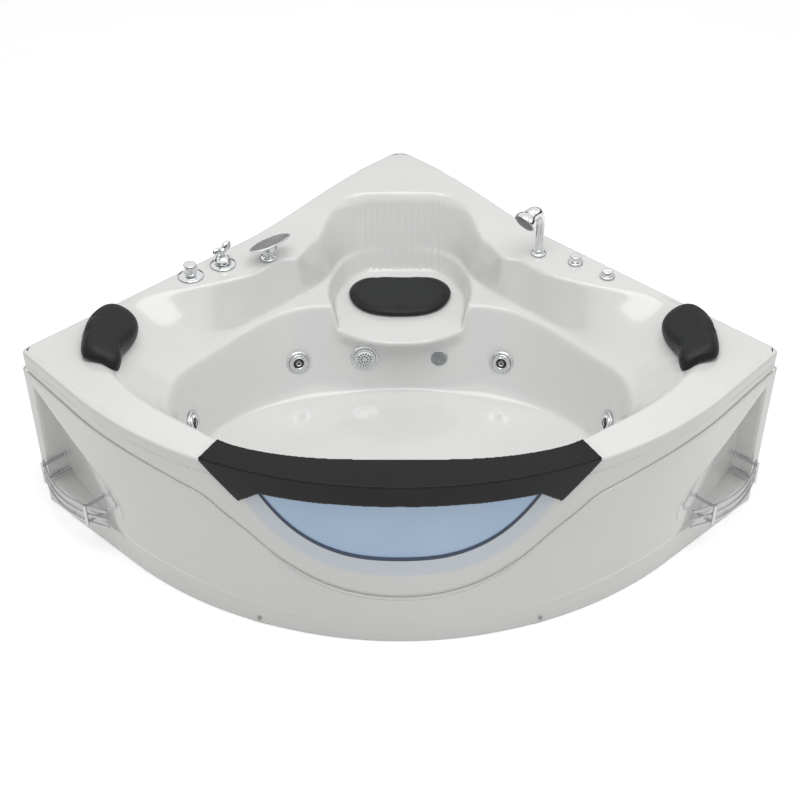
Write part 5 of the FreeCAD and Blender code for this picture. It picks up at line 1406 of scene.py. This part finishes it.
# %% Handrail cap
cap = melted_node("rail_cover", "handrail_cap", 2.8, 2)
settle(cap, "tub", "cap", "handrail_cap")
print("cap", len(cap.data.polygons), "faces")

# %% [markdown]
# ## Towel racks from paths
# Each rack is bent wire: bowed rails on two posts, and arms back to the panel. The paths are plain
# poly-lines. One node tree turns any such path into rods, with the rod's radius as a named input.


# %% Node tree for rods
def new_tree(name, sizes):
    """A geometry node group with named number inputs."""
    tree = bpy.data.node_groups.new(name, "GeometryNodeTree")
    tree.interface.new_socket("Geometry", in_out="INPUT", socket_type="NodeSocketGeometry")
    for label, value in sizes.items():
        kind = "NodeSocketInt" if isinstance(value, int) else "NodeSocketFloat"
        socket = tree.interface.new_socket(label, in_out="INPUT", socket_type=kind)
        socket.default_value = value
    tree.interface.new_socket("Material", in_out="INPUT", socket_type="NodeSocketMaterial")
    tree.interface.new_socket("Geometry", in_out="OUTPUT", socket_type="NodeSocketGeometry")
    return tree, tree.nodes.new("NodeGroupInput"), tree.nodes.new("NodeGroupOutput")


def chain(tree, start, steps):
    """Adds nodes one after another along their geometry sockets."""
    last = start
    made = []
    for kind in steps:
        step = tree.nodes.new(kind)
        tree.links.new(last, step.inputs[0])
        last = step.outputs[0]
        made.append(step)
    return made, last


def rod_tree():
    tree, given, result = new_tree("rods", {"Rod radius": 0.004, "Sides": 20})
    steps = ["GeometryNodeMeshToCurve", "GeometryNodeCurveToMesh", "GeometryNodeSetShadeSmooth"]
    steps += ["GeometryNodeRealizeInstances", "GeometryNodeSetMaterial"]
    made, last = chain(tree, given.outputs["Geometry"], steps)
    circle = tree.nodes.new("GeometryNodeCurvePrimitiveCircle")
    tree.links.new(given.outputs["Rod radius"], circle.inputs["Radius"])
    tree.links.new(given.outputs["Sides"], circle.inputs["Resolution"])
    tree.links.new(circle.outputs["Curve"], made[1].inputs["Profile Curve"])
    made[1].inputs["Fill Caps"].default_value = True
    tree.links.new(given.outputs["Material"], made[4].inputs["Material"])
    tree.links.new(last, result.inputs["Geometry"])
    return tree


RODS = rod_tree()


def apply_tree(obj, tree, values):
    """Runs a node group on an object and keeps the plain mesh."""
    modifier = obj.modifiers.new("tree", "NODES")
    modifier.node_group = tree
    for item in tree.interface.items_tree:
        if item.in_out == "INPUT" and item.name in values:
            modifier[item.identifier] = values[item.name]
    return plain_mesh(obj)


def rods(name, paths, radius, sides=20):
    """Paths in the frame's millimetres as one mesh of rods."""
    points, edges = [], []
    for path in paths:
        start = len(points)
        points += [tuple(q / 1000) for q in np.asarray(path, float)]
        edges += [(k, k + 1) for k in range(start, len(points) - 1)]
    mesh = bpy.data.meshes.new(name)
    mesh.from_pydata(points, edges, [])
    return apply_tree(placed(name, mesh), RODS, {"Rod radius": radius / 1000, "Sides": sides})


print("rod tree", len(RODS.nodes), "nodes")

# %% Towel racks
RACK_TOP, RACK_PITCH = -385.0, 29.0
RACK_POSTS = (54.0, 293.0)
RAIL_MIDDLE, RAIL_REACH, RAIL_BOW = 196.0, 160.0, 42
ROSE = [(0, -3), (8, -3), (8, 1.6), (6.6, 3), (3.6, 3.6), (0, 3.6)]


def end_place(side, along, out, level):
    """A point by the tub's end; side is -1 for the left one."""
    x = -HALF + along * math.cos(END_ANGLE) - out * math.sin(END_ANGLE)
    depth = HALF + along * math.sin(END_ANGLE) + out * math.cos(END_ANGLE)
    return np.array([-side * x, BACK_Y - depth, DECK + level])


def rail_out(along):
    """How far the bowed rails stand out from the end's line."""
    return 14 + RAIL_BOW * (1 - ((along - RAIL_MIDDLE) / RAIL_REACH) ** 2)


for side, name in ((-1, "left"), (1, "right")):
    levels = [RACK_TOP - RACK_PITCH * step for step in range(3)]
    stations = np.linspace(RAIL_MIDDLE - RAIL_REACH, RAIL_MIDDLE + RAIL_REACH, 42)
    rails = [[end_place(side, along, rail_out(along), level) for along in stations] for level in levels]
    away = end_place(side, 0, 1, 0) - end_place(side, 0, 0, 0)
    posts, arms, roses = [], [], []
    for along in RACK_POSTS:
        out = rail_out(along) + 5.6
        posts.append([end_place(side, along, out, level) for level in (levels[2] - 8, levels[0] + 8)])
        for level in (levels[0], levels[2]):
            foot_out = float(niche_out(np.array([along]), np.array([level]))[0])
            arms.append([end_place(side, along, reach, level) for reach in (out, foot_out - 2)])
            spot = end_place(side, along, foot_out, level)
            roses.append(turned_form("rose", ROSE, spot, away, 0.6, 32))
    parts = [rods("rails", rails, 4.0), rods("posts", posts, 5.2), rods("arms", arms, 4.8)] + roses
    rack = joined("towel_rails_" + name, parts)
    settle(rack, "tub", "rack", "rack_" + name)
print("rack", len(rack.data.polygons), "faces")

# %% [markdown]
# ## Screw caps along the panel's foot
# Four domed caps cover the panel's screws. A second node tree sets one cap on every point of a small
# mesh and turns it to the direction stored there.


# %% Panel screws
def instance_tree():
    tree, given, result = new_tree("caps", {"Scale": 1.0})
    tree.interface.new_socket("Cap", in_out="INPUT", socket_type="NodeSocketObject")
    on_points = tree.nodes.new("GeometryNodeInstanceOnPoints")
    info = tree.nodes.new("GeometryNodeObjectInfo")
    facing = tree.nodes.new("GeometryNodeInputNamedAttribute")
    facing.data_type = "FLOAT_VECTOR"
    facing.inputs["Name"].default_value = "facing"
    align = tree.nodes.new("FunctionNodeAlignRotationToVector")
    align.axis = "Z"
    tree.links.new(given.outputs["Geometry"], on_points.inputs["Points"])
    tree.links.new(given.outputs["Cap"], info.inputs["Object"])
    tree.links.new(info.outputs["Geometry"], on_points.inputs["Instance"])
    tree.links.new(facing.outputs["Attribute"], align.inputs["Vector"])
    tree.links.new(align.outputs["Rotation"], on_points.inputs["Rotation"])
    tree.links.new(given.outputs["Scale"], on_points.inputs["Scale"])
    steps = ["GeometryNodeRealizeInstances", "GeometryNodeSetMaterial"]
    made, last = chain(tree, on_points.outputs["Instances"], steps)
    tree.links.new(given.outputs["Material"], made[1].inputs["Material"])
    tree.links.new(last, result.inputs["Geometry"])
    return tree


def set_on_points(name, cap, spots, directions):
    """One copy of a small object on every spot, facing its direction."""
    mesh = bpy.data.meshes.new(name)
    mesh.from_pydata([tuple(q / 1000) for q in spots], [], [])
    facing = mesh.attributes.new("facing", "FLOAT_VECTOR", "POINT")
    facing.data.foreach_set("vector", np.asarray(directions, float).ravel())
    return apply_tree(placed(name, mesh), CAPS, {"Cap": cap, "Scale": 1.0})


CAPS = instance_tree()
CAP_SEAT = 2.5
SCREW_SPANS = ((-1100, -800), (-600, -200), (200, 600), (800, 1100))
cap_section = [(0, -0.4), (6, -0.4), (6, 0.5), (5.2, 2.0), (3.4, 3.0), (0, 3.4)]
cap_model = turned_form("cap_model", cap_section, (0, 0, 0), radius=0.5, sides=36)
spots, directions = [], []
screws = mesh_points(frame["nodes"]["panel_screws"].data) * 1000
for low_x, high_x in SCREW_SPANS:
    mine = screws[(screws[:, 0] > low_x) & (screws[:, 0] < high_x)]
    middle = mine.mean(0)
    spread = np.linalg.svd(mine - middle, full_matrices=False)[2][0]
    spread = spread if spread[1] < 0 else -spread
    outermost = (mine @ spread).max()
    spots.append(middle + spread * (outermost - middle @ spread - CAP_SEAT))
    directions.append(spread)
screw_caps = set_on_points("panel_screw_caps", cap_model, spots, directions)
bpy.data.objects.remove(cap_model)
settle(screw_caps, "tub", "screw", "panel_screws")
print("screw caps at", [[round(float(v)) for v in spot] for spot in spots])

# %% [markdown]
# ## Cushions
# Pillows and seat pad are foam under a soft skin. Each starts as a slightly shrunken copy of its solid,
# with even quads, and Blender's cloth blows it up for twenty frames. How far a point may move is capped,
# so the cushion keeps its outline and only its faces swell.


# %% Inflate a cushion
CLOTH_FRAMES = 20


def inflated(name, node, grain, shrink, limit, rounds=6, shape=None, pressure=4.0):
    """A padded piece from a soft solid by cloth under pressure."""
    piece = remeshed(merged_copy(name, frame["nodes"][node]), grain / 1000)
    points = mesh_points(piece.data)
    edges = mesh_edges(piece.data)
    for _ in range(rounds):
        points = relaxed(points, edges)
    if shape is not None:
        points = shape(points * 1000) / 1000
    move_points(piece, points)
    start = points - mesh_points(piece.data, "normal") * shrink / 1000
    move_points(piece, start)
    cloth = piece.modifiers.new("air", "CLOTH")
    cloth.settings.use_pressure = True
    cloth.settings.uniform_pressure_force = pressure
    cloth.settings.effector_weights.gravity = 0
    cloth.point_cache.frame_start = 1
    cloth.point_cache.frame_end = CLOTH_FRAMES
    for frame_number in range(1, CLOTH_FRAMES + 1):
        bpy.context.scene.frame_set(frame_number)
    plain_mesh(piece)
    bpy.context.scene.frame_set(1)
    step = mesh_points(piece.data) - start
    length = np.linalg.norm(step, axis=1)[:, None]
    start = start + step * np.minimum(1, limit / 1000 / np.maximum(length, 1e-9))
    for _ in range(2):
        start = relaxed(start, edges)
    move_points(piece, start)
    finer = piece.modifiers.new("finer", "SUBSURF")
    finer.levels = finer.render_levels = 1
    plain_mesh(piece)
    return piece


for side in ("left", "right"):
    pillow = inflated("pillow_" + side, "head_pillow_" + side, 5.0, 2.0, 4.5, rounds=16)
    settle(pillow, "tub", "cushion", "head_pillow_" + side)


DIP, DIP_HALF_WIDTH = 9.0, 75
PAD_SHIFT, PAD_LONGER = 10, 1.09


def fuller(points):
    """The pad's moulding reaches a little further forwards, with a shallow dip behind."""
    rear = points[:, 1].max()
    back = ramp(points[:, 1], rear - 60, rear)
    points[:, 1] += DIP * np.clip(1 - (points[:, 0] / DIP_HALF_WIDTH) ** 2, 0, 1) * back
    points[:, 1] = rear - PAD_SHIFT - (rear - points[:, 1]) * PAD_LONGER
    return points


pad = inflated("seat_cushion", "seat_pad", 4.5, 2.0, 3.5, rounds=6, shape=fuller)
settle(pad, "tub", "cushion", "seat_pad")
print("pillow", len(pillow.data.polygons), "faces, pad", len(pad.data.polygons))

# %% [markdown]
# ## Suction fitting and underwater light
# Both sit in the back wall below the seat, and their flanges are turned. The suction's grille and the
# light's lens come as they are from the solids.

# %% Suction and light
SUCTION_PLACE, SUCTION_AXIS = (-112.0, 145.7, 255.0), (0.030, -0.982, 0.188)
LIGHT_PLACE, LIGHT_AXIS = (123.0, 145.8, 255.0), (-0.050, -0.981, 0.189)
suction = threaded(22, -60, 26, 34, -20.3, -10.3, SEAT) + [(44, SEAT), (44, 2.8), (41.6, 5.4)]
suction += [(38.5, 6.6), (35.4, 6.2), (35, 3.6), (22, 3.6)]
suction_flange = turned_form("suction_flange", suction, SUCTION_PLACE, SUCTION_AXIS, 1.0, 120)
settle(suction_flange, "tub", "chrome", "suction_body")
lamp = threaded(0, -42, 14, 21, -18.3, -9.3, SEAT) + [(29, SEAT), (29, 2.8), (27.6, 5.0), (25.6, 5.6)]
lamp += [(24.1, 5.2), (24, 3.6), (0, 3.6)]
lamp_flange = turned_form("light_flange", lamp, LIGHT_PLACE, LIGHT_AXIS, 0.8, 96)
settle(lamp_flange, "tub", "chrome", "light_body")
print("suction flange", len(suction_flange.data.polygons), "faces")

# %% [markdown]
# ## Materials from a small formula class
# Finishes vary a little over every surface: gloss changes, rubbing marks, faint waves. Writing that as
# formulas is shorter than wiring nodes by hand. A `Value` is one number or vector in a node tree, and
# its * and its few methods add the math nodes.


# %% Values in a node tree
class Value:
    """One output socket; arithmetic on it adds nodes."""

    def __init__(self, finish, socket):
        self.finish = finish
        self.socket = socket

    def math(self, operation, other):
        node = self.finish.add("ShaderNodeMath", {"operation": operation}, {0: self, 1: other})
        return Value(self.finish, node.outputs[0])

    def __mul__(self, other):
        return self.math("MULTIPLY", other)

    def high(self, other):
        return self.math("MAXIMUM", other)

    def span(self, start, stop, first=0.0, last=1.0):
        """Maps start..stop smoothly to first..last."""
        inputs = {"Value": self, "From Min": start, "From Max": stop, "To Min": first, "To Max": last}
        settings = {"interpolation_type": "SMOOTHSTEP"}
        node = self.finish.add("ShaderNodeMapRange", settings, inputs)
        return Value(self.finish, node.outputs["Result"])


class Finish:
    """A material built from formulas."""

    def __init__(self, name):
        self.material = bpy.data.materials.new(name)
        self.material.use_nodes = True
        self.tree = self.material.node_tree
        self.tree.nodes.clear()
        self.shader = self.add("ShaderNodeBsdfPrincipled")
        self.add("ShaderNodeOutputMaterial", {}, {"Surface": self.shader.outputs[0]})
        self.place = self.add("ShaderNodeTexCoord").outputs["Object"]

    def add(self, kind, settings=None, inputs=None):
        """One node: its settings first, then numbers and links on its inputs."""
        node = self.tree.nodes.new(kind)
        for name, value in (settings or {}).items():
            setattr(node, name, value)
        for name, value in (inputs or {}).items():
            if isinstance(value, Value):
                value = value.socket
            if isinstance(value, bpy.types.NodeSocket):
                self.tree.links.new(value, node.inputs[name])
            else:
                node.inputs[name].default_value = value
        return node

    def noise(self, scale, detail=2.0, rough=0.5, stretch=None):
        """Cloudy noise from 0 to 1; scale is per metre."""
        place = self.place
        if stretch is not None:
            place = self.add("ShaderNodeMapping", {}, {"Vector": place, "Scale": stretch}).outputs[0]
        inputs = {"Vector": place, "Scale": scale, "Detail": detail, "Roughness": rough}
        node = self.add("ShaderNodeTexNoise", {}, inputs)
        return Value(self, node.outputs["Fac"])

    def attribute(self, name):
        """A number stored on the mesh's points."""
        node = self.add("ShaderNodeAttribute", {"attribute_name": name, "attribute_type": "GEOMETRY"})
        return Value(self, node.outputs["Fac"])

    def mix(self, share, first, second):
        """Blends two colours, each a Value or red, green and blue."""
        first, second = (c if isinstance(c, Value) else (*c, 1) for c in (first, second))
        node = self.add("ShaderNodeMix", {"data_type": "RGBA"}, {"Factor": share, 6: first, 7: second})
        return Value(self, node.outputs[2])

    def tone(self, cloud, first, second):
        """A colour that drifts between two with a cloudy noise."""
        return self.mix(cloud.span(0.3, 0.7), first, second)

    def bump(self, height, distance, strength=1.0):
        inputs = {"Height": height, "Distance": distance, "Strength": strength}
        return Value(self, self.add("ShaderNodeBump", {}, inputs).outputs[0])

    def set(self, **values):
        """Numbers or formulas on the shader's inputs; underscores stand for spaces."""
        for name, value in values.items():
            socket = self.shader.inputs[name.replace("_", " ")]
            if isinstance(value, Value):
                self.tree.links.new(value.socket, socket)
            else:
                socket.default_value = value
        return self


print("formula classes ready")

# %% Finishes of the moulded parts
def acrylic_finish():
    finish = Finish("acrylic_white")
    cloud = finish.noise(3.0, 3.0)
    worn = finish.noise(42.0, 4.0, 0.6)
    colour = finish.tone(cloud, (0.765, 0.765, 0.752), (0.790, 0.790, 0.778))
    # Painted bluish shade on the sloping band round the window, mixed in by the amount stored on the
    # points.
    colour = finish.mix(finish.attribute("bevel") * 0.75, colour, (0.64, 0.71, 0.80))
    finish.set(Base_Color=colour, Roughness=worn.span(0.3, 0.75, 0.13, 0.19), IOR=1.49)
    finish.set(Coat_Weight=0.35, Coat_Roughness=0.05)
    ripple = finish.noise(7.0, 1.0)
    return finish.set(Normal=finish.bump(ripple, 0.0006, 0.35)).material


def cap_finish():
    finish = Finish("cap_black")
    grain = finish.noise(900.0, 2.0)
    cloud = finish.noise(6.0, 3.0)
    colour = finish.tone(cloud, (0.0060, 0.0062, 0.0064), (0.0085, 0.0087, 0.0089))
    finish.set(Base_Color=colour, Roughness=cloud.span(0.3, 0.7, 0.30, 0.38))
    finish.set(IOR=1.5, Specular_IOR_Level=0.22)
    return finish.set(Normal=finish.bump(grain, 0.00025, 0.35)).material


def cushion_finish():
    """Soft integral-skin foam with a fine leather grain."""
    finish = Finish("cushion_black")
    inputs = {"Vector": finish.place, "Scale": 520.0}
    cells = finish.add("ShaderNodeTexVoronoi", {"feature": "DISTANCE_TO_EDGE"}, inputs)
    pebble = Value(finish, cells.outputs["Distance"]).span(0.0, 0.35)
    cloud = finish.noise(14.0, 3.0)
    colour = finish.tone(cloud, (0.0095, 0.0105, 0.0115), (0.0130, 0.0140, 0.0150))
    finish.set(Base_Color=colour, Roughness=cloud.span(0.25, 0.75, 0.38, 0.48))
    finish.set(IOR=1.47, Specular_IOR_Level=0.3)
    return finish.set(Normal=finish.bump(pebble, 0.0003, 0.5)).material


def plain_plastic(name, first, second, rough=0.4, scale=60.0, depth=0.0002):
    finish = Finish(name)
    cloud = finish.noise(scale, 3.0)
    finish.set(Base_Color=finish.tone(cloud, first, second))
    finish.set(Roughness=cloud.span(0.3, 0.7, rough - 0.05, rough + 0.07))
    return finish.set(Normal=finish.bump(finish.noise(scale * 9), depth, 0.4)).material


# %% Finishes of metal and glass
def metal_finish(name, colour, rough, spread=0.05, scale=30.0):
    finish = Finish(name)
    haze = finish.noise(scale, 4.0, 0.6)
    tone = finish.tone(haze, [0.97 * channel for channel in colour], colour)
    finish.set(Base_Color=tone, Metallic=1.0, Roughness=haze.span(0.25, 0.8, rough, rough + spread))
    return finish.set(Normal=finish.bump(finish.noise(scale * 0.7), 0.0003, 0.2)).material


def glass_finish():
    """Toughened pane: mostly clear, tinted pale blue by its thickness."""
    finish = Finish("glass_pale_blue")
    cloud = finish.noise(4.0, 2.0)
    tint = finish.tone(cloud, (0.46, 0.64, 0.88), (0.50, 0.68, 0.91))
    finish.set(Base_Color=tint, Roughness=cloud.span(0.3, 0.7, 0.03, 0.07), IOR=1.5, Coat_Weight=0.5)
    return finish.set(Alpha=0.93).material


def spray_face_finish():
    """Grey rubber dots stand on a slightly paler face."""
    finish = Finish("spray_face_grey")
    inputs = {"Vector": finish.place, "Scale": 210.0, "Randomness": 0.0}
    cells = finish.add("ShaderNodeTexVoronoi", {"feature": "F1"}, inputs)
    dot = Value(finish, cells.outputs["Distance"]).span(0.30, 0.40)
    finish.set(Base_Color=finish.mix(dot, (0.035, 0.037, 0.040), (0.21, 0.22, 0.23)), Roughness=0.42)
    return finish.set(Normal=finish.bump(dot, 0.0006, 0.5)).material


def nozzle_finish():
    """Dark ball with a bright ring round its bore, told apart by the distance from its axis."""
    finish = Finish("nozzle_two_tone")
    reach = finish.attribute("reach")
    shine = reach.span(5.2, 5.6) * reach.span(8.2, 7.8).high(0.0)
    cloud = finish.noise(60.0, 3.0)
    dark = finish.tone(cloud, (0.020, 0.021, 0.023), (0.034, 0.035, 0.037))
    finish.set(Base_Color=finish.mix(shine, dark, (0.80, 0.81, 0.82)), Metallic=shine)
    return finish.set(Roughness=cloud.span(0.3, 0.7, 0.18, 0.28)).material


MATERIALS = {
    "acrylic": acrylic_finish(),
    "cap": cap_finish(),
    "cushion": cushion_finish(),
    "glass": glass_finish(),
    "spray_face": spray_face_finish(),
    "nozzle": nozzle_finish(),
    "chrome": metal_finish("chrome_polished", (0.74, 0.75, 0.76), 0.07, 0.05),
    "satin": metal_finish("chrome_satin", (0.66, 0.67, 0.68), 0.30, 0.08),
    "rack": metal_finish("rack_chrome", (0.56, 0.57, 0.58), 0.14, 0.08),
    "brass": metal_finish("brass_raw", (0.72, 0.53, 0.26), 0.26, 0.14),
    "steel": metal_finish("steel_galvanised", (0.62, 0.61, 0.60), 0.34, 0.18, 90.0),
    "gasket": plain_plastic("gasket_blue_grey", (0.040, 0.058, 0.110), (0.055, 0.075, 0.135), 0.5),
    "screw": plain_plastic("screw_cap_grey", (0.34, 0.35, 0.36), (0.42, 0.43, 0.44), 0.35),
    "block": plain_plastic("block_wood", (0.42, 0.29, 0.17), (0.52, 0.37, 0.22), 0.6),
    "plastic_grey": plain_plastic("plastic_grey", (0.17, 0.175, 0.18), (0.22, 0.225, 0.23), 0.33),
    "lens": plain_plastic("lens_frosted", (0.24, 0.26, 0.27), (0.32, 0.34, 0.35), 0.22),
    "pipe": plain_plastic("pipe_white", (0.72, 0.72, 0.70), (0.78, 0.78, 0.76), 0.35),
    "pump_black": plain_plastic("pump_black", (0.020, 0.020, 0.022), (0.030, 0.030, 0.032), 0.45),
    "motor": plain_plastic("motor_grey_paint", (0.17, 0.19, 0.21), (0.21, 0.23, 0.25), 0.42),
    "foot": plain_plastic("foot_black", (0.025, 0.025, 0.027), (0.035, 0.035, 0.037), 0.5),
}
slots_of_nodes = {entry["node"]: entry["material_slot"] for entry in frame["record"]["subparts"]}


def paint(obj, material):
    obj.data.materials.clear()
    obj.data.materials.append(material)


for name, obj in frame["nodes"].items():
    paint(obj, MATERIALS[slots_of_nodes[name]])
print("finishes", len(MATERIALS), "on", len(slots_of_nodes), "nodes")

# %% Paint the finished pieces
paint(tub, MATERIALS["acrylic"])
paint(panel, MATERIALS["acrylic"])
for piece, slot_name in SETTLED:
    paint(piece, MATERIALS[slot_name])
for name in JETS:
    paint(bpy.data.objects["jet_ball_" + name], MATERIALS["nozzle"])
paint(plate, MATERIALS["satin"])
print("painted", len(SETTLED) + 2, "pieces")

# %% [markdown]
# ## Ground, light and camera
# A pale floor keeps the tub's soft shadow. The background is white, as in a cut-out product picture: a
# faint glow that only looking rays can see lifts the lit floor to white, and lights nothing. A ring of
# dark cloth that only mirrors can see gives the chrome its contrast.

# %% Floor and background
GLOW, GROUND = 0.50, 6
LOOKING = ("Camera", "Glossy", "Transmission")
corners = [(x * GROUND, y * GROUND, 0) for x, y in ((-1, -1), (1, -1), (1, 1), (-1, 1))]
floor_mesh = make_object("ground", corners, [(0, 1, 2, 3)], False)
floor = Finish("floor_white")
tone = floor.noise(2.0, 2.0)
floor_colour = floor.tone(tone, (0.86, 0.86, 0.86), (0.88, 0.88, 0.88))
path = floor.add("ShaderNodeLightPath")
camera_ray, glossy_ray, clear_ray = (Value(floor, path.outputs[f"Is {kind} Ray"]) for kind in LOOKING)
glow = floor.mix(camera_ray.high(glossy_ray).high(clear_ray), (0, 0, 0), (GLOW, GLOW, GLOW))
floor.set(Base_Color=floor_colour, Roughness=0.9, Emission_Color=glow, Emission_Strength=1.0)
paint(floor_mesh, floor.material)

world = bpy.data.worlds.new("studio")
bpy.context.scene.world = world
world.use_nodes = True
nodes, links = world.node_tree.nodes, world.node_tree.links
nodes.clear()
rays = nodes.new("ShaderNodeLightPath")
either = rays.outputs["Is Camera Ray"]
for kind in LOOKING[1:]:
    larger = nodes.new("ShaderNodeMath")
    larger.operation = "MAXIMUM"
    links.new(either, larger.inputs[0])
    links.new(rays.outputs[f"Is {kind} Ray"], larger.inputs[1])
    either = larger.outputs[0]
choice = nodes.new("ShaderNodeMixShader")
links.new(either, choice.inputs[0])
for index, (colour, strength) in enumerate((((0.84, 0.84, 0.83, 1), 0.56), ((1, 1, 1, 1), 1.0)), 1):
    background = nodes.new("ShaderNodeBackground")
    background.inputs["Color"].default_value = colour
    background.inputs["Strength"].default_value = strength
    links.new(background.outputs[0], choice.inputs[index])
links.new(choice.outputs[0], nodes.new("ShaderNodeOutputWorld").inputs[0])


def area_light(name, place, target, size, power):
    light = bpy.data.lights.new(name, "AREA")
    light.shape = "RECTANGLE"
    light.size, light.size_y = size
    light.energy = power
    lamp_object = placed(name, light)
    lamp_object.location = place
    aim = Vector(target) - Vector(place)
    lamp_object.rotation_euler = aim.to_track_quat("-Z", "Y").to_euler()


area_light("soft_top", (0.1, -0.8, 3.4), (0, 0.15, 0.3), (2.8, 2.0), 55)
area_light("soft_right", (3.0, -0.6, 2.6), (0, 0, 0.4), (1.6, 2.0), 4)

# %% Dark flags for the chrome to mirror
FLAG_RADIUS, FLAG_LOW, FLAG_HIGH, FLAG_SIDES = 4.2, 0.35, 1.7, 48
turns = full_turn(FLAG_SIDES)
ring = FLAG_RADIUS * np.stack([np.cos(turns), np.sin(turns)], 1)
flag_rows = [np.column_stack([ring, np.full(FLAG_SIDES, height)]) for height in (FLAG_LOW, FLAG_HIGH)]
flags = make_object("studio_flags", np.concatenate(flag_rows), grid_faces(2, FLAG_SIDES, True), False)
dark_cloth = Finish("flag_cloth")
cloth_tone = dark_cloth.tone(dark_cloth.noise(1.5, 2.0), (0.02, 0.02, 0.02), (0.09, 0.09, 0.09))
dark_cloth.set(Base_Color=cloth_tone, Roughness=0.9)
paint(flags, dark_cloth.material)
for ray_kind in ("camera", "diffuse", "transmission", "volume_scatter", "shadow"):
    setattr(flags, "visible_" + ray_kind, False)

# %% Camera
CAMERA_PLACE, CAMERA_PITCH, CAMERA_LENS = (0.0, -3.4571, 2.921), 51.8, 63.72
camera = placed("camera", bpy.data.cameras.new("camera"))
camera.location = CAMERA_PLACE
camera.rotation_euler = (math.radians(CAMERA_PITCH), 0, 0)
camera.data.lens = CAMERA_LENS
camera.data.sensor_width = 36.0
bpy.context.scene.camera = camera
bpy.context.scene.view_settings.view_transform = "Standard"
print("camera at", tuple(round(v, 3) for v in camera.location))
